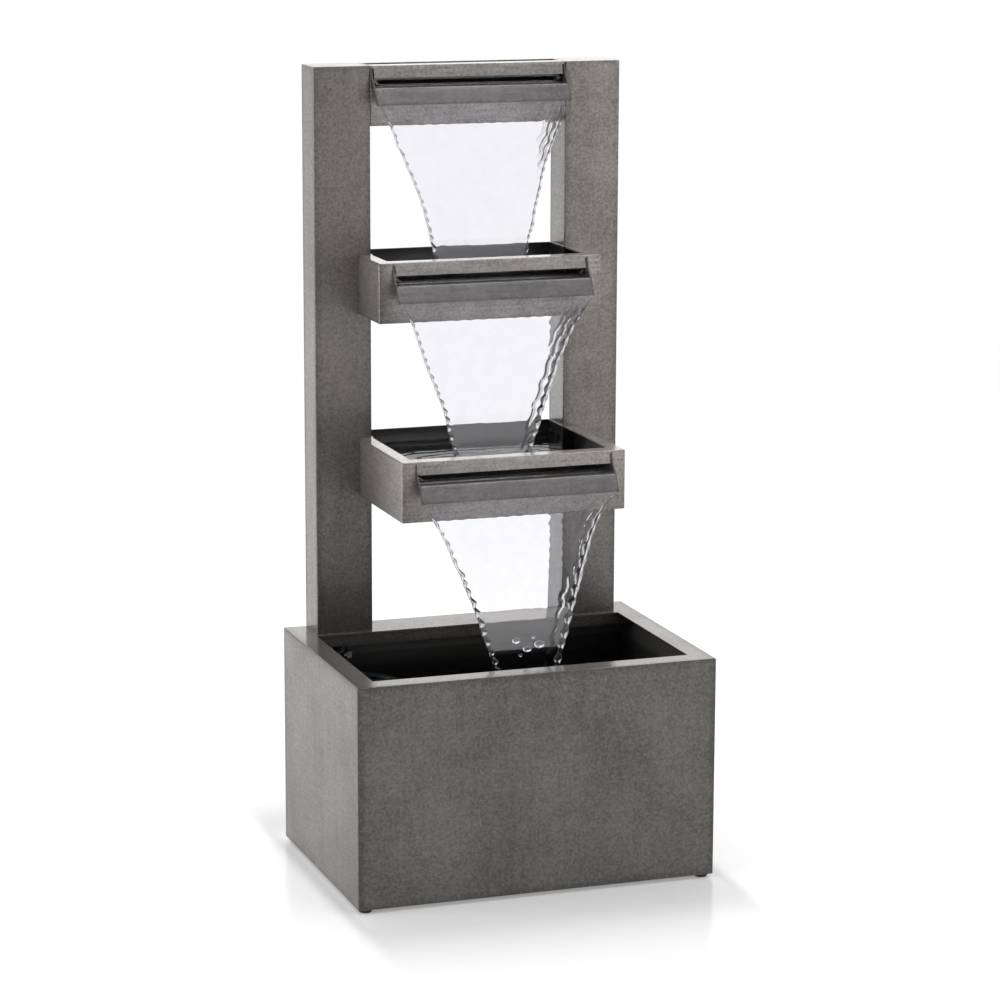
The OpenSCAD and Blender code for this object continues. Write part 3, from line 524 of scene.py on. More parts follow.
# %% [markdown]
# ## Folded sheet with rounded folds
# A press brake leaves a radius on each fold, and it is what catches the light. The CAD
# solids have sharp folds. Their outer folds are found first: a fold lies between two faces
# that are both wider than the sheet, and a cut edge has one face only as wide as the sheet.

# %% Finding folds and cut edges
SHEET = 2.0 * MM
LEAST_FOLD = math.radians(25)
LEAST_CUT = math.radians(40)
SHORTEST_FOLD = 8 * MM
ON_SKIN = 0.01 * MM
PROBE = 1.6


def broad(loop, skin):
    """Whether the face beside this edge goes on well past the thickness of the sheet."""
    here, there = loop.vert.co, loop.link_loop_next.vert.co
    inward = loop.face.normal.cross(there - here).normalized()
    return skin.find_nearest((here + there) / 2 + inward * PROBE * SHEET)[3] < ON_SKIN


def folds_of(shell):
    """Outer folds: convex edges between two faces that are both wider than the sheet."""
    skin = BVHTree.FromBMesh(shell)
    found = []
    for edge in shell.edges:
        if not edge.is_manifold or not edge.is_convex or edge.calc_face_angle() < LEAST_FOLD:
            continue
        wide = all(broad(loop, skin) for loop in edge.link_loops)
        if wide and edge.calc_length() > SHORTEST_FOLD:
            found.append(edge)
    return found


def sharp_edges(shell):
    return [e for e in shell.edges
            if e.is_manifold and e.is_convex and e.calc_face_angle() > LEAST_CUT]


print("sheet, mm:", SHEET / MM)

# %% [markdown]
# The troughs and the reservoir are painted dark inside, painted shade of their hollows. Their
# faces are marked by place, as those that lie inside the walls, so that one finish serves
# both sides of the sheet.

# %% Marking the insides for painted shade
SPOUT_OF = {"header_trough": "header_spout", "middle_tray": "middle_spout",
            "lower_tray": "lower_spout"}
HOOD_OUT = 4.0 * MM
WALL_SKIN = 1.5 * MM


def inside_of(node):
    """The box of a trough's or the reservoir's inside, which gets painted shade: its own box less
    the walls.
    """
    low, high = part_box(node)
    skin = Vector((1, 1, 1)) * WALL_SKIN
    hood = Vector((0, HOOD_OUT if node in SPOUT_OF else 0, 0))
    return low + skin + hood, high - skin


def mark_inside(mesh, node):
    low, high = inside_of(node)
    centres = [face.center for face in mesh.polygons]
    marks = [float(all(low[k] < c[k] < high[k] for k in range(3))) for c in centres]
    mesh.attributes.new("inside", "FLOAT", "FACE").data.foreach_set("value", marks)


# These pieces get painted shade on their insides
print("coated inside:", ["reservoir_tub", *SPOUT_OF])

# %% [markdown]
# A copy of each solid is merged into clean flat faces, its outer folds get a 1.6 mm bevel,
# and its cut edges, which are only as wide as the sheet, get a fine one. Weighted normals
# keep the wide flats flat right up to the bevels.

# %% Rounded copies of the folded pieces
FOLD_R, FOLD_STEPS = 1.6 * MM, 4
CUT_R, CUT_STEPS = 0.3 * MM, 2
MERGE = 1e-6
FLAT = math.radians(0.6)
SHARP = math.radians(32)


def bevel(shell, edges, width, segments):
    bmesh.ops.bevel(shell, geom=edges, offset=width, offset_type="OFFSET", affect="EDGES",
                    segments=segments, profile=0.5, material=-1, clamp_overlap=True)


def rounded_copy(node, name, finish, fold_r=FOLD_R):
    shell = bmesh.new()
    shell.from_mesh(nodes[node].data)
    bmesh.ops.remove_doubles(shell, verts=shell.verts, dist=MERGE)
    bmesh.ops.dissolve_limit(shell, angle_limit=FLAT, verts=shell.verts, edges=shell.edges)
    folds = folds_of(shell)
    bevel(shell, folds, fold_r, FOLD_STEPS)
    bevel(shell, sharp_edges(shell), CUT_R, CUT_STEPS)
    mesh = bpy.data.meshes.new(name)
    shell.to_mesh(mesh)
    shell.free()
    mesh.materials.clear()
    mesh.materials.append(finish)
    mesh.shade_smooth()
    piece = bpy.data.objects.new(name, mesh)
    bpy.context.scene.collection.objects.link(piece)
    mesh.set_sharp_from_angle(angle=SHARP)
    flats = piece.modifiers.new("flat_faces", "WEIGHTED_NORMAL")
    flats.keep_sharp = True
    if node == "reservoir_tub" or node in SPOUT_OF:
        mark_inside(mesh, node)
    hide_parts(node)
    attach(piece, body_of_node[node])
    print(f"{name}: {len(folds)} folds, {len(mesh.polygons)} faces")
    return piece


print("fold radius, mm:", FOLD_R / MM)

# %% [markdown]
# The pieces differ in tone in the photograph: the posts are light on top and dark at the
# foot, and the tub is the darkest. The values below come from comparing renders with it.
# They are partly painted light: lit and shaded copies of one zinc, with a painted highlight
# on top faces and painted shade at the foot.

# %% Tub, posts and troughs
RESERVOIR_DROP = 45.5 * MM
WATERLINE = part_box("reservoir_tub")[1].z - RESERVOIR_DROP
# Painted shade inside the tub, above its waterline
TUB_HOLLOW_SHADE = (0.095, 0.091, 0.086)
SHELLS = {
    "reservoir_tub": "reservoir_shell", "post_bearer": "deck_channel",
    "left_post": "left_post_shell", "right_post": "right_post_shell",
    "left_post_cover": "left_rear_cover", "right_post_cover": "right_rear_cover",
    "header_trough": "header_shell", "middle_tray": "middle_tray_shell",
    "lower_tray": "lower_tray_shell",
}
# How light each piece is, partly as painted light, how much of that is left at its foot, as
# painted shade, and how glossy its lacquer is
TONES = {
    "reservoir_tub": {"tone": 0.88, "foot": 0.72, "left": 0.9, "top_highlight": 2.4, "gloss": 0.15,
                      "brush": 0.3, "hollow_shade": TUB_HOLLOW_SHADE, "tide": WATERLINE},
    "left_post": {"tone": 1.5, "foot": 0.47, "top_highlight": 2.6, "gloss": 0.35, "brush": 0.3},
    "right_post": {"tone": 1.62, "foot": 0.54, "top_highlight": 2.6, "gloss": 0.6, "brush": 0.3},
    "header_trough": {"tone": 2.35, "foot": 0.65, "top_highlight": 2.4, "reach": 0.005, "gloss": 0.6,
                      "brush": 1.0},
    "middle_tray": {"tone": 2.4, "foot": 0.6, "left": 0.45, "reach": 0.005, "gloss": 0.4,
                    "brush": 1.0},
    "lower_tray": {"tone": 2.3, "foot": 0.68, "left": 0.7, "reach": 0.004, "gloss": 0.3,
                   "brush": 1.0},
    # The deck channel sits under the deck, and its low tone is painted shade
    "post_bearer": {"tone": 0.8, "gloss": 0.2},
}
COVER_TONES = {"tone": 1.4, "foot": 0.8, "gloss": 0.4}

for node, name in SHELLS.items():
    rounded_copy(node, name, zinc(name + "_zinc", node, **TONES.get(node, COVER_TONES)))

# %% [markdown]
# The scoops are smaller folds of the same sheet, given a darker tone than the troughs.
# They take a tighter radius and a slot of their own.

# %% Scoops
SCOOP_R = 1.2 * MM
SCOOP_TONES = {"tone": 0.9, "brush": 0.9, "reach": 0.004, "gloss": 0.0}

for node in SPOUT_OF.values():
    rounded_copy(node, node + "_shell", zinc(node + "_zinc", node, **SCOOP_TONES),
                 fold_r=SCOOP_R)

# %% [markdown]
# ## Rubber, plastic, steel and ceramic
# The small parts keep their CAD shape. Each class gets its own finish: rubber is matt with a
# dusty grain, the pump is moulded plastic with a fine texture, and the screws are plain
# steel with a fine grain.

# %% Finishes of the small parts
GRAIN_BUMP, GRAIN_DEPTH = 0.15, 0.0002


def speckled(name, dark, light, scale, roughness, metallic=0.0):
    material, tree, shader = new_material(name)
    place = add(tree, "ShaderNodeTexCoord").outputs["Object"]
    grain = mottle(tree, place, scale, 4.0, 0.6)
    tree.links.new(ramp(tree, grain, [(0.3, dark), (0.7, light)]), shader.inputs["Base Color"])
    tree.links.new(spread(tree, grain, 0.2, 0.8, *roughness), shader.inputs["Roughness"])
    shader.inputs["Metallic"].default_value = metallic
    bump_to(tree, shader, grain, GRAIN_BUMP, GRAIN_DEPTH)
    return material


# Each finish: name, dark and light colour, scale of its grain, roughness range, metal share
FINISHES = {
    "black_rubber": ("rubber_matt", (0.012, 0.012, 0.012), (0.035, 0.034, 0.033), 900, (0.6, 0.8)),
    "pump_plastic": ("pump_moulding", (0.014, 0.015, 0.017), (0.03, 0.032, 0.035), 1600,
                     (0.42, 0.55)),
    "impeller_plastic": ("nylon_moulding", (0.55, 0.54, 0.48), (0.68, 0.66, 0.6), 700,
                         (0.35, 0.5)),
    "fastener_steel": ("bright_steel", (0.42, 0.42, 0.43), (0.62, 0.62, 0.62), 500,
                       (0.22, 0.36), 1.0),
    # Painted shade: near-black steel for the screws inside the troughs
    "sealed_steel": ("sealed_steel", (0.012, 0.012, 0.012), (0.03, 0.03, 0.03), 500,
                     (0.45, 0.6), 0.3),
    "magnet": ("ground_ferrite", (0.03, 0.03, 0.033), (0.07, 0.07, 0.075), 1200,
               (0.35, 0.5), 0.4),
    "ceramic": ("polished_ceramic", (0.72, 0.71, 0.66), (0.82, 0.81, 0.77), 400, (0.12, 0.2)),
    "hose_vinyl": ("hose_smooth", (0.025, 0.027, 0.03), (0.05, 0.053, 0.057), 260, (0.25, 0.4)),
}
finishes = {slot: speckled(*values) for slot, values in FINISHES.items()}
print("finishes:", list(finishes))

# %% [markdown]
# Each small node then takes the finish of its slot. The troughs' screws stand in the dark
# insides and take a near-black steel, painted shade that hides them there.

# %% Dressing the small parts
SCREWS_IN_SHADE = ("header_screws", "middle_tray_screws", "lower_tray_screws")
slot_of_node = {part["node"]: part["material_slot"] for part in frame["record"]["subparts"]}

for node, slot_name in slot_of_node.items():
    if slot_name in finishes:
        mesh = nodes[node].data
        mesh.materials.clear()
        mesh.materials.append(finishes["sealed_steel" if node in SCREWS_IN_SHADE else slot_name])
print("finished:", sum(s in finishes for s in slot_of_node.values()), "small nodes")

# %% [markdown]
# ## Water
# Clear water has hardly any colour: it shows what is behind it, bent, and mirrors the room at
# a slant. A real refracting form is used, not a mirror, because the dark tub has to show
# through it. Two marks on the mesh help where the form is finer than the grid.

# %% Water finishes
WATER_IOR = 1.333
WATER_DEPTH = 0.0006
RIPPLE_SHADE, RIPPLE_DULL = 0.03, 0.02


def clear_water(name, tint, dark, bump, scale, clear=1.0):
    """Clear water. 'shade' marks where folds of the surface look dark, 'dull' rough places."""
    material, tree, shader = new_material(name)
    place = add(tree, "ShaderNodeTexCoord").outputs["Object"]
    ripple = mottle(tree, place, scale, 2.0, 0.5)
    shade = add(tree, "ShaderNodeAttribute", {"attribute_name": "shade"}).outputs["Fac"]
    shade = maths(tree, "ADD", shade, spread(tree, ripple, 0.3, 0.7, 0.0, RIPPLE_SHADE))
    tree.links.new(ramp(tree, shade, [(0.0, tint), (1.0, dark)]), shader.inputs["Base Color"])
    dull = add(tree, "ShaderNodeAttribute", {"attribute_name": "dull"}).outputs["Fac"]
    rough = maths(tree, "ADD", spread(tree, ripple, 0.3, 0.8, 0.0, RIPPLE_DULL), dull)
    tree.links.new(rough, shader.inputs["Roughness"])
    shader.inputs["IOR"].default_value = WATER_IOR
    shader.inputs["Transmission Weight"].default_value = clear
    bump_to(tree, shader, ripple, bump, WATER_DEPTH)
    return material


ROPE_DARK = (0.03, 0.03, 0.034)
pool_water = clear_water("water_in_pools", (0.90, 0.92, 0.92), (0.3, 0.3, 0.3), 0.04, 90)
sheet_water = clear_water("water_falling", (0.915, 0.91, 0.95), ROPE_DARK, 0.03, 60)
ruffled_water = clear_water("water_ruffled", (0.97, 0.965, 0.99), ROPE_DARK, 0.05, 60, clear=0.88)
print("waters:", [m.name for m in (pool_water, sheet_water, ruffled_water)])

# %% [markdown]
# Every water piece ends the same way: closed, with its faces turned outward, because a clear
# form with faces turned inward bends light the wrong way.

# %% Finishing a water piece


def make_water(water, name, finish, marks=None):
    """A finished water piece. It lets lamp light through, as clear water does."""
    bmesh.ops.recalc_face_normals(water, faces=water.faces)
    # On a form this thin the recalculation can settle on the inner side
    if water.calc_volume(signed=True) < 0:
        bmesh.ops.reverse_faces(water, faces=water.faces)
    mesh = bpy.data.meshes.new(name)
    water.to_mesh(mesh)
    water.free()
    for label, values in (marks or {}).items():
        mesh.attributes.new(label, "FLOAT", "POINT").data.foreach_set("value", values)
    mesh.materials.append(finish)
    mesh.shade_smooth()
    piece = bpy.data.objects.new(name, mesh)
    bpy.context.scene.collection.objects.link(piece)
    piece.visible_shadow = False
    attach(piece, "fountain")
    print(f"{name}: {len(mesh.polygons)} faces")
    return piece


print("water helper:", make_water.__name__)

# %% [markdown]
# The three falling sheets are planned first, because the pools need to know where each one
# lands. A sheet leaves between the cheeks of its scoop and draws in as it falls, so each edge
# is a list of (distance from the middle, height) in millimetres.

# %% Plan of the falls
LEVEL_DROP = 19.0 * MM
LIP_OUT = 29.5 * MM

FALLS = {
    "header": {
        "tray": "header_trough", "lands_in": "middle_tray",
        "left": [(-124.1, 1019.3), (-100.6, 963.5), (-79.7, 914.8), (-67.5, 869.3),
                 (-58.4, 830.4), (-52.9, 806.8)],
        "right": [(122.7, 1011.1), (101.2, 956.8), (86.5, 889.7), (74.0, 829.2), (69.3, 807.1)],
    },
    "middle": {
        "tray": "middle_tray", "lands_in": "lower_tray",
        "left": [(-123.4, 762.9), (-103.8, 703.5), (-78.3, 640.6), (-63.5, 579.7), (-57.5, 551.6)],
        "right": [(107.0, 741.0), (89.9, 700.5), (65.6, 632.6), (48.5, 576.6), (42.2, 551.6)],
    },
    "lower": {
        "tray": "lower_tray", "lands_in": "reservoir_tub",
        "left": [(-129.6, 516.2), (-110.6, 483.7), (-73.4, 398.9), (-37.6, 299.2), (-26.2, 260.9)],
        "right": [(112.6, 506.3), (98.8, 470.3), (76.9, 387.6), (55.8, 302.8), (47.0, 260.7)],
    },
}


def water_level(node):
    drop = RESERVOIR_DROP if node == "reservoir_tub" else LEVEL_DROP
    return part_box(node)[1].z - drop


def face_of(node):
    """The front face of a trough, behind its hood."""
    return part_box(node)[0].y + HOOD_OUT


for fall in FALLS.values():
    fall["rim"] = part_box(fall["tray"])[1].z
    fall["face"] = face_of(fall["tray"])
    fall["land_z"] = water_level(fall["lands_in"])
    fall["land_y"] = fall["face"] - LIP_OUT
print({k: [round(f[p], 4) for p in ("rim", "face", "land_y", "land_z")] for k, f in FALLS.items()})

# %% [markdown]
# ## Still water
# Two things shape the surface of a pool. Rings and a boil spread from the line where a sheet
# lands, and the surface sinks in front of a scoop, where the water speeds up.

# %% Shape of a pool's surface
SILL_DRAW = 8.4 * MM
SILL_REACH = 17 * MM
CHEEK_X = 138.1
MOUTH_SHARE = 0.9
MOUTH_FADE = 12 * MM
# Rings, boil and swell, each with its height in millimetres
RING_LENGTH, RING_REACH, RING_HEIGHT = 0.0031, 0.05, 0.8
WANDER_SCALE, WANDER = 25, 2.5
BOIL_SCALE, BOIL_REACH, BOIL_HEIGHT = 110, 0.03, 2.4
SWELL_SCALE, SWELL_HEIGHT = 32, 0.35


def held(value, low=0.0, high=1.0):
    return min(high, max(low, value))


def lumps(x, y, scale, seed):
    return noise.noise(Vector((x * scale, y * scale, seed)))


def chop(x, y, landing):
    """Height of the disturbed surface near a landing line, given as (left, right, y)."""
    left, right, line_y = landing
    away = math.hypot(x - held(x, left, right), y - line_y)
    wander = WANDER * lumps(x, y, WANDER_SCALE, 0)
    wave = math.sin(away / RING_LENGTH + wander) * math.exp(-away / RING_REACH) * RING_HEIGHT
    boil = lumps(x, y, BOIL_SCALE, 3) * math.exp(-away / BOIL_REACH) * BOIL_HEIGHT
    swell = lumps(x, y, SWELL_SCALE, 7) * SWELL_HEIGHT
    return (wave + boil + swell) * MM


def drawn_down(x, y, front):
    """How far the surface sinks as the water speeds up towards the scoop's mouth."""
    beside = max(0.0, abs(x) - MOUTH_SHARE * CHEEK_X * MM)
    along = held(1.0 - (y - front) / SILL_REACH)
    eased = SILL_DRAW * along * along * (3 - 2 * along)
    return eased * math.exp(-(beside / MOUTH_FADE) ** 2)


print("sunk at a mouth, mm:", round(drawn_down(0, 0, 0) / MM, 2))

# %% [markdown]
# Each pool is a block that reaches half a millimetre into the metal, so that no gap shows at
# its edge. A fine grid is its surface. The trays are narrower between the posts, so their
# grids are cut there. The border is then extruded down and closed.

# %% Building a pool
PITCH = 2.6 * MM
CALM = 0.95


def level_grid(half_width, front, rear, surface_z, pitch):
    water = bmesh.new()
    across, deep = 2 * half_width, rear - front
    steps = {"x_segments": round(across / pitch), "y_segments": round(deep / pitch)}
    bmesh.ops.create_grid(water, **steps, size=0.5)
    bmesh.ops.scale(water, vec=(across, deep, 1), verts=water.verts)
    bmesh.ops.translate(water, vec=(0, (front + rear) / 2, surface_z), verts=water.verts)
    return water


def cut_narrow(water, half, start):
    """Takes away what lies behind the start and farther out than the half width."""
    across, along = (1, 0, 0), (0, 1, 0)
    for spot, normal in (((half, 0, 0), across), ((-half, 0, 0), across), ((0, start, 0), along)):
        everything = water.verts[:] + water.edges[:] + water.faces[:]
        bmesh.ops.bisect_plane(water, geom=everything, plane_co=spot, plane_no=normal, dist=MERGE)
    centres = [(f, f.calc_center_median()) for f in water.faces]
    outside = [f for f, centre in centres if abs(centre.x) > half and centre.y > start]
    bmesh.ops.delete(water, geom=outside, context="FACES")


def close_below(water, border, floor_z):
    walls = bmesh.ops.extrude_edge_only(water, edges=border)["geom"]
    for vert in [v for v in walls if isinstance(v, bmesh.types.BMVert)]:
        vert.co.z = floor_z
    low = [e for e in walls if isinstance(e, bmesh.types.BMEdge) and e.is_boundary]
    bmesh.ops.contextual_create(water, geom=low)


def pool(name, half_width, front, rear, surface_z, floor_z, landing, narrow=None, pours=True,
         pitch=PITCH):
    """A block of water; narrow=(half width, y) draws it in behind y, as the trays are."""
    water = level_grid(half_width, front, rear, surface_z, pitch)
    if narrow:
        cut_narrow(water, *narrow)
    border = [e for e in water.edges if e.is_boundary]
    rim = {v for e in border for v in e.verts}
    for vert in water.verts:
        x, y, _ = vert.co
        sunk = drawn_down(x, y, front) if pours else 0.0
        if landing and vert not in rim:
            vert.co.z += chop(x, y, landing) * (1 - CALM / SILL_DRAW * sunk)
        vert.co.z -= sunk
    close_below(water, border, floor_z)
    return make_water(water, name, pool_water)


print("pool grid, mm:", PITCH / MM)

# %% [markdown]
# Four pools fill the reservoir, the header and the two trays. The reservoir's doesn't pour,
# and no sheet lands in the header, which fills from the riser.

# %% Pools
BITE = 0.5 * MM
SHEET_IN = SHEET - BITE
TUB_PITCH = 2.9 * MM
POOLS = {"header_trough": "header_water", "middle_tray": "middle_water",
         "lower_tray": "lower_water"}


def landing_in(node):
    for fall in FALLS.values():
        if fall["lands_in"] == node:
            return fall["left"][-1][0] * MM, fall["right"][-1][0] * MM, fall["land_y"]
    return None


tub_low, tub_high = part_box("reservoir_tub")
post_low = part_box("left_post")[0]
pool("reservoir_water", tub_high.x - SHEET_IN, tub_low.y + SHEET_IN, tub_high.y - SHEET_IN,
     water_level("reservoir_tub"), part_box("foot_front_left")[1].z + SHEET_IN,
     landing_in("reservoir_tub"), pours=False, pitch=TUB_PITCH)
for node, name in POOLS.items():
    low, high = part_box(node)
    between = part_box("header_trough")[1].x - SHEET_IN
    shoulders = None if node == "header_trough" else (between, post_low.y - SHEET_IN)
    pool(name, high.x - SHEET_IN, face_of(node) + SHEET_IN, high.y - SHEET_IN, water_level(node),
         low.z + SHEET_IN, landing_in(node), narrow=shoulders)

# %% [markdown]
# ## Falling sheets
# Each sheet slides down the floor of its scoop, leaves at the drip lip and falls. The path is
# a list of (out from the face, below the rim) in millimetres, blurred a little so that the
# water doesn't turn at corners as the sheet metal does.

# %% Path of a sheet
PATH = [(12.0, -28.9), (4.0, -28.7), (-6.0, -28.4), (-12.0, -28.3), (-15.0, -28.7), (-17.0, -29.9),
        (-18.6, -32.1), (-21.5, -37.4), (-25.3, -44.4), (-28.6, -50.5), (-29.3, -52.6),
        (-29.5, -57.0), (-29.6, -65.0)]
PATH_STEP = 2.0 * MM
PATH_BLUR = 3.0 * MM
END_OUT, END_BELOW = 0.2 * MM, 1.0 * MM


def line_at(points, where):
    """Straight-line value at a place, from (place, value) pairs in rising order."""
    for (a, low), (b, high) in zip(points, points[1:]):
        if where <= b:
            return low + (high - low) * (where - a) / (b - a)
    return points[-1][1]


def soft_line(points, where, blur):
    return sum(line_at(points, where + k * blur / 2) for k in (-2, -1, 0, 1, 2)) / 5


def fall_path(fall):
    """Rows of the sheet as (y, z, outward normal), a step apart, from the mouth to the pool."""
    corners = [Vector((0, fall["face"] + y * MM, fall["rim"] + z * MM)) for y, z in PATH]
    corners.append(Vector((0, fall["land_y"] - END_OUT, fall["land_z"] - END_BELOW)))
    lengths = [0.0]
    for a, b in zip(corners, corners[1:]):
        lengths.append(lengths[-1] + (b - a).length)
    ys = [(s, c.y) for s, c in zip(lengths, corners)]
    zs = [(s, c.z) for s, c in zip(lengths, corners)]
    count = round(lengths[-1] / PATH_STEP)
    rows = []
    for j in range(count + 1):
        s = lengths[-1] * j / count
        blur = 0.0 if j in (0, count) else PATH_BLUR
        rows.append(Vector((0, soft_line(ys, s, blur), soft_line(zs, s, blur))))
    out = []
    for j, spot in enumerate(rows):
        along = rows[min(j + 1, count)] - rows[max(j - 1, 0)]
        out.append((spot.y, spot.z, Vector((0, along.z, -along.y)).normalized()))
    return out


print("rows of each sheet:", {tier: len(fall_path(fall)) for tier, fall in FALLS.items()})

# %% [markdown]
# Surface tension gathers the water into a rope along each edge of a sheet, and the ropes draw
# the sheet in as it falls. The film between them is about a millimetre thick. So the columns
# of the grid crowd round the ropes and stand wider apart in the film.

# %% Columns of a sheet
ROPE_TURNS = 10
BAND_STEP = 1.1 * MM
LEFT_BAND = 6
FILM_COLUMNS = 78


def columns_of(right_band):
    """Column recipes as (side, kind, step), from the left edge to the right."""
    out = [("left", "rope", k) for k in range(ROPE_TURNS + 1)]
    out += [("left", "band", k) for k in range(1, LEFT_BAND + 1)]
    out += [("middle", "film", (k + 1) / (FILM_COLUMNS + 1)) for k in range(FILM_COLUMNS)]
    out += [("right", "band", k) for k in range(right_band, 0, -1)]
    return out + [("right", "rope", k) for k in range(ROPE_TURNS, -1, -1)]


def column_x(recipe, left, right, rope_l, rope_r, right_band):
    side, kind, k = recipe
    edge, inward, rope = (left, 1, rope_l) if side == "left" else (right, -1, rope_r)
    if kind == "rope":
        return edge + inward * rope * (1 - math.cos(math.pi * k / ROPE_TURNS))
    if kind == "band":
        return edge + inward * (2 * rope + k * BAND_STEP)
    start = left + 2 * rope_l + LEFT_BAND * BAND_STEP
    end = right - 2 * rope_r - right_band * BAND_STEP
    return start + (end - start) * k


def rope_half(away, radius):
    """Half thickness of a round rope, at a distance in from its edge."""
    if away >= 2 * radius:
        return 0.0
    return math.sqrt(max(0.0, radius ** 2 - (away - radius) ** 2))


print("rope half thickness at its middle, mm:", rope_half(2.0, 2.0))

# %% [markdown]
# A rope isn't even: it swells into beads and wanders, more so once it is free of the lip. The
# film thins as it falls, and crossed slanting ripples run over its first few centimetres.

# %% Ropes and film
FREE_AFTER = 25 * MM
BEAD_SWELL, WANDER_SWELL = 0.28, 0.25
ROPE_WANDER_SCALE = 45
MOUTH_HALF = 0.95
FILM_HALF = [(0, MOUTH_HALF), (20, 0.8), (300, 0.6)]
STREAK_SCALE_X, STREAK_SCALE_Z = 75, 8
FREE_STREAKS, ROUGH_STREAKS = 0.10, 0.4
CROSS_SHARE, CROSS_SLOPE, CROSS_REACH = 0.10, 0.8, 35 * MM
CROSS_RIGHT, CROSS_LEFT = 2.1 * MM, 2.6 * MM


def rope_at(side, seed, z, free, fallen, look):
    """Radius, bead and wander of one rope at a height."""
    wander = noise.noise(Vector((z * ROPE_WANDER_SCALE, seed, look["seed"])))
    bead = math.sin(z / (look[side + "_beads"] * MM) * 2 * math.pi + 3 * wander)
    swell = 1.0 + BEAD_SWELL * bead * free + WANDER_SWELL * wander * free
    return swell * line_at(look[side + "_rope"], fallen / MM) * MM, bead, wander


def film_half(x, z, free, fallen, rough, look):
    """Half thickness of the film, which fills the scoop above the lip."""
    half = line_at(FILM_HALF, fallen / MM) * MM
    if fallen == 0:
        half = max(MOUTH_HALF * MM, z - look["floor_z"])
    streaks = noise.noise(Vector((x * STREAK_SCALE_X, z * STREAK_SCALE_Z, look["seed"])))
    streaks *= FREE_STREAKS * free + ROUGH_STREAKS * rough
    crossed = math.exp(-fallen / CROSS_REACH) * free
    crossed *= (math.sin((x * CROSS_SLOPE + fallen) / CROSS_RIGHT) * CROSS_SHARE
                + math.sin((fallen - x * CROSS_SLOPE) / CROSS_LEFT) * CROSS_SHARE)
    return half * (1 + streaks + crossed)


print("film, mm, at the lip and 300 mm below:", 2 * FILM_HALF[0][1], 2 * FILM_HALF[-1][1])

# %% [markdown]
# In the photograph the ropes and the wrinkles beside them have dark flanks, from the dim room
# that they bend into view. The form gives part of that, and the 'shade' mark the rest.

# %% Dark flanks and wrinkles
FILM_START = 4
RIM_SHADE, RIM_POWER, BEAD_SHADE = 0.75, 1.5, 0.5
# Fading in and out, in mm fallen, and how far a wrinkle sways and follows the rope, in mm
FADE_IN, FADE_OUT = 10, 12
WRINKLE_SWAY, WRINKLE_WANDER = 1.6, 2
FLANK_SHADE = 2.2


def with_ropes(x, half, left, right, ropes, free):
    """Thickens the film into the ropes; gives the half thickness and the dark share."""
    shade = 0.0
    for away, (rope, bead, _) in ((x - left, ropes[0]), (right - x, ropes[1])):
        inside = away / (2 * rope)
        if inside <= 1.0:
            half = max(half * math.sqrt(held(inside * FILM_START)), rope_half(away, rope))
            rim = abs(2 * inside - 1) ** RIM_POWER
            dark = RIM_SHADE * rim + BEAD_SHADE * max(0.0, bead) * (1 - rim)
            shade = max(shade, free * dark)
    return half, shade


def with_wrinkles(x, half, shade, right, wander, fallen, wrinkles):
    """Adds long humps beside the right rope, which sway as they run down."""
    for start, end, depth, wide, tall, waves, darkness in wrinkles:
        near = held((fallen / MM - start) / FADE_IN) * held((end - fallen / MM) / FADE_OUT)
        if near <= 0:
            continue
        swing = WRINKLE_SWAY * math.sin(fallen / (waves * MM))
        centre = right - (depth + swing + WRINKLE_WANDER * wander) * MM
        across = (x - centre) / (wide * MM)
        hump = math.exp(-across * across)
        half += tall * MM * hump * near
        shade = max(shade, darkness * near * min(1.0, FLANK_SHADE * abs(across) * hump))
    return half, shade


print("at a rope's middle, half and dark share:", with_ropes(2, 1, 0, 9, [(2, 0, 0)] * 2, 1))

# %% [markdown]
# The helpers above together place one point of a sheet: across it by its column, and before
# or behind its path by half the thickness there.

# %% One point of a sheet
THINNEST = 0.05 * MM
LEFT_SWAY = 1.6
LEFT_BEAD, RIGHT_BEAD = 0.5, 0.6
SHEET_SWAY, SWAY_SCALE_X, SWAY_SCALE_Z = 0.7 * MM, 28, 9


def sheet_point(recipe, left, right, z, fallen, rough, look):
    """Place across the sheet, half thickness, dark share and sway of one point."""
    free = min(1.0, fallen / FREE_AFTER)
    rope_l, bead_l, wander_l = left_rope = rope_at("left", 1.0, z, free, fallen, look)
    rope_r, bead_r, wander_r = right_rope = rope_at("right", 5.0, z, free, fallen, look)
    left += wander_l * LEFT_SWAY * MM * free + bead_l * LEFT_BEAD * MM * free
    right += wander_r * look["right_sway"] * MM * free + bead_r * RIGHT_BEAD * MM * free
    x = column_x(recipe, left, right, rope_l, rope_r, look["right_band"])
    half = film_half(x, z, free, fallen, rough, look)
    half, shade = with_ropes(x, half, left, right, (left_rope, right_rope), free)
    half, shade = with_wrinkles(x, half, shade, right, wander_r, fallen, look["wrinkles"])
    drift = noise.noise(Vector((x * SWAY_SCALE_X, z * SWAY_SCALE_Z, look["seed"] + 4)))
    return x, max(half, THINNEST), shade, SHEET_SWAY * free * drift


print("thinnest water, mm:", 2 * THINNEST / MM)

# %% [markdown]
# A sheet starts as a flat grid, solidified into two layers, and each point of it is then put
# in its place by its column and row. Solidify closes the rim between the layers.

# %% Building a sheet
LIP_DROP = 52.0 * MM
EDGE_BLUR = 8 * MM
SPOUT_DULL, DULL_FROM = 0.15, 4 * MM
SOFT = 8 * MM
FOOT_HALF, FOOT_REACH = 1.5, 3 * MM
LAYERS_APART = 0.01
FAR_ABOVE = 0.1


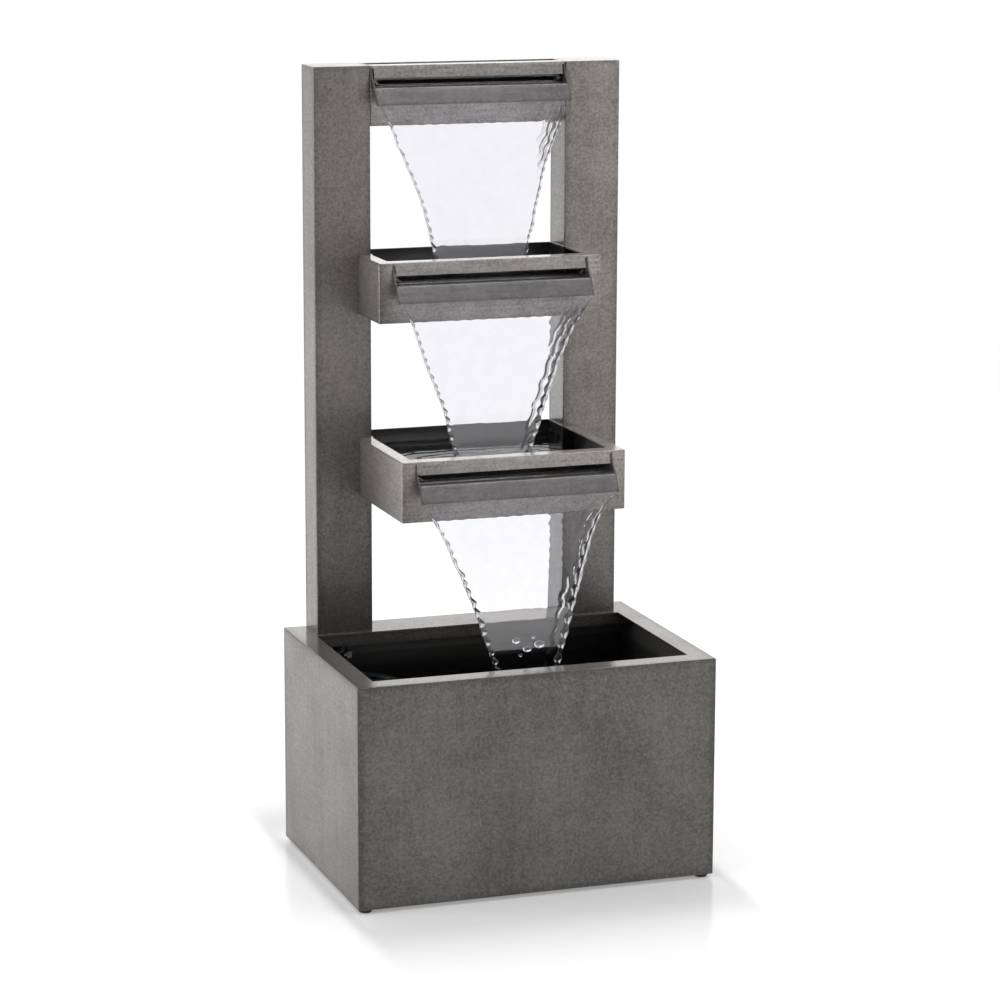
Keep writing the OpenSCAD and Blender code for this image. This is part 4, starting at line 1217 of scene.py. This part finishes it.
def edge_line(fall, side, lip_z):
    """One edge of a sheet as (height, x) in rising order, held at the cheek above the lip."""
    x = (-CHEEK_X if side == "left" else CHEEK_X) * MM
    points = [(z * MM, px * MM) for px, z in fall[side]]
    return sorted([(lip_z + FAR_ABOVE, x), (lip_z, x)] + points)


def falling_sheet(name, fall, look):
    rows = fall_path(fall)
    columns = columns_of(look["right_band"])
    lip_z = fall["rim"] - LIP_DROP
    edge_lines = [edge_line(fall, side, lip_z) for side in ("left", "right")]
    low, high = (fall["land_z"] + h * MM for h in look["ruffled"])
    sheet = bmesh.new()
    nx, ny = len(columns) - 1, len(rows) - 1
    bmesh.ops.create_grid(sheet, x_segments=nx, y_segments=ny, size=0.5)
    bmesh.ops.solidify(sheet, geom=sheet.faces[:], thickness=LAYERS_APART)
    sheet.verts.ensure_lookup_table()
    middle_z = sum(v.co.z for v in sheet.verts) / len(sheet.verts)
    marks = {"shade": [], "dull": []}
    for vert in sheet.verts:
        i, j = round((vert.co.x + 0.5) * nx), round((vert.co.y + 0.5) * ny)
        front = 1 if vert.co.z > middle_z else -1
        y, z, normal = rows[j]
        fallen = max(0.0, lip_z - z)
        left, right = (soft_line(line, z, EDGE_BLUR) for line in edge_lines)
        rough = held((z - low) / SOFT) * held((high - z) / SOFT)
        x, half, shade, sway = sheet_point(columns[i], left, right, z, fallen, rough, look)
        foot = math.exp(-(z - fall["land_z"]) / FOOT_REACH) * FOOT_HALF * MM
        vert.co = Vector((x, y, z)) + normal * (sway + front * (half + foot))
        marks["shade"].append(shade)
        marks["dull"].append(SPOUT_DULL * held((z - lip_z - DULL_FROM) / SOFT))
    piece = make_water(sheet, name, sheet_water, marks)
    piece.data.materials.append(ruffled_water)
    for face in piece.data.polygons:
        face.material_index = int(low < face.center.z < high)
    return piece


print("edges held at, mm:", CHEEK_X)

# %% [markdown]
# The three falls differ in their ropes, which mostly grow thicker on the right. Rope lists
# are (mm fallen, radius in mm). A ruffled band, in mm above the pool, lets a little less of
# the background through.

# %% Falling sheets
FLOOR_DROP = 30.0 * MM
# Each wrinkle: start and end of its run down, depth in from the edge, half width, height,
# wave length over 2 pi, and how dark its flanks look
LOOKS = {
    "header": {
        "seed": 0.0, "ruffled": (-10, 38), "right_band": 34,
        "left_rope": [(0, 0.9), (15, 1.4), (120, 1.6), (220, 2.3), (400, 2.4)],
        "right_rope": [(0, 0.9), (15, 1.9), (90, 1.6), (400, 1.6)],
        "left_beads": 13.0, "right_beads": 12.0, "right_sway": 2.0,
        "wrinkles": [(2, 95, 8, 1.8, 1.0, 3.2, 0.55), (2, 80, 15, 2.0, 0.8, 4.1, 0.45),
                     (4, 60, 23, 2.0, 0.5, 3.6, 0.3)],
    },
    "middle": {
        "seed": 10.0, "ruffled": (-10, 66), "right_band": 26,
        "left_rope": [(0, 0.9), (15, 1.5), (130, 1.9), (210, 2.7), (400, 2.8)],
        "right_rope": [(0, 0.9), (12, 3.0), (60, 4.0), (400, 3.4)],
        "left_beads": 12.0, "right_beads": 15.0, "right_sway": 2.6,
        "wrinkles": [(10, 210, 15, 1.7, 0.9, 4.4, 0.6), (5, 70, 24, 1.6, 0.4, 3.4, 0.3)],
    },
    "lower": {
        "seed": 20.0, "ruffled": (62, 115), "right_band": 26,
        "left_rope": [(0, 0.9), (15, 1.7), (130, 2.6), (260, 3.4), (400, 3.4)],
        "right_rope": [(0, 0.9), (12, 3.0), (70, 4.6), (400, 4.0)],
        "left_beads": 14.0, "right_beads": 19.0, "right_sway": 2.2,
        "wrinkles": [(20, 120, 14, 1.6, 0.7, 5.0, 0.4), (110, 270, 20, 1.8, 0.9, 4.2, 0.6),
                     (5, 60, 26, 1.6, 0.4, 3.4, 0.3)],
    },
}

for tier, fall in FALLS.items():
    LOOKS[tier]["floor_z"] = fall["rim"] - FLOOR_DROP
    falling_sheet(tier + "_sheet_of_water", fall, LOOKS[tier])

# %% [markdown]
# Where the lowest sheet nears the reservoir it carries a few thick beads. Each is a sphere,
# flattened against the film, given as (x, height, radius) in millimetres.

# %% Beads on the lowest sheet
BEADS = [(-8.3, 338.0, 5.6), (7.5, 326.0, 6.4), (24.7, 331.0, 7.4), (-2.0, 317.0, 2.6),
         (16.0, 341.0, 3.0), (2.0, 290.0, 2.4)]
FLATTEN = (1, 0.6, 0.75)
STAND_OUT = 0.35

beads = bmesh.new()
for x, z, radius in BEADS:
    new = bmesh.ops.create_icosphere(beads, subdivisions=3, radius=radius * MM)["verts"]
    bmesh.ops.scale(beads, vec=FLATTEN, verts=new)
    y = FALLS["lower"]["land_y"] - STAND_OUT * radius * MM
    bmesh.ops.translate(beads, vec=(x * MM, y, z * MM), verts=new)
make_water(beads, "beads_on_the_fall", sheet_water)
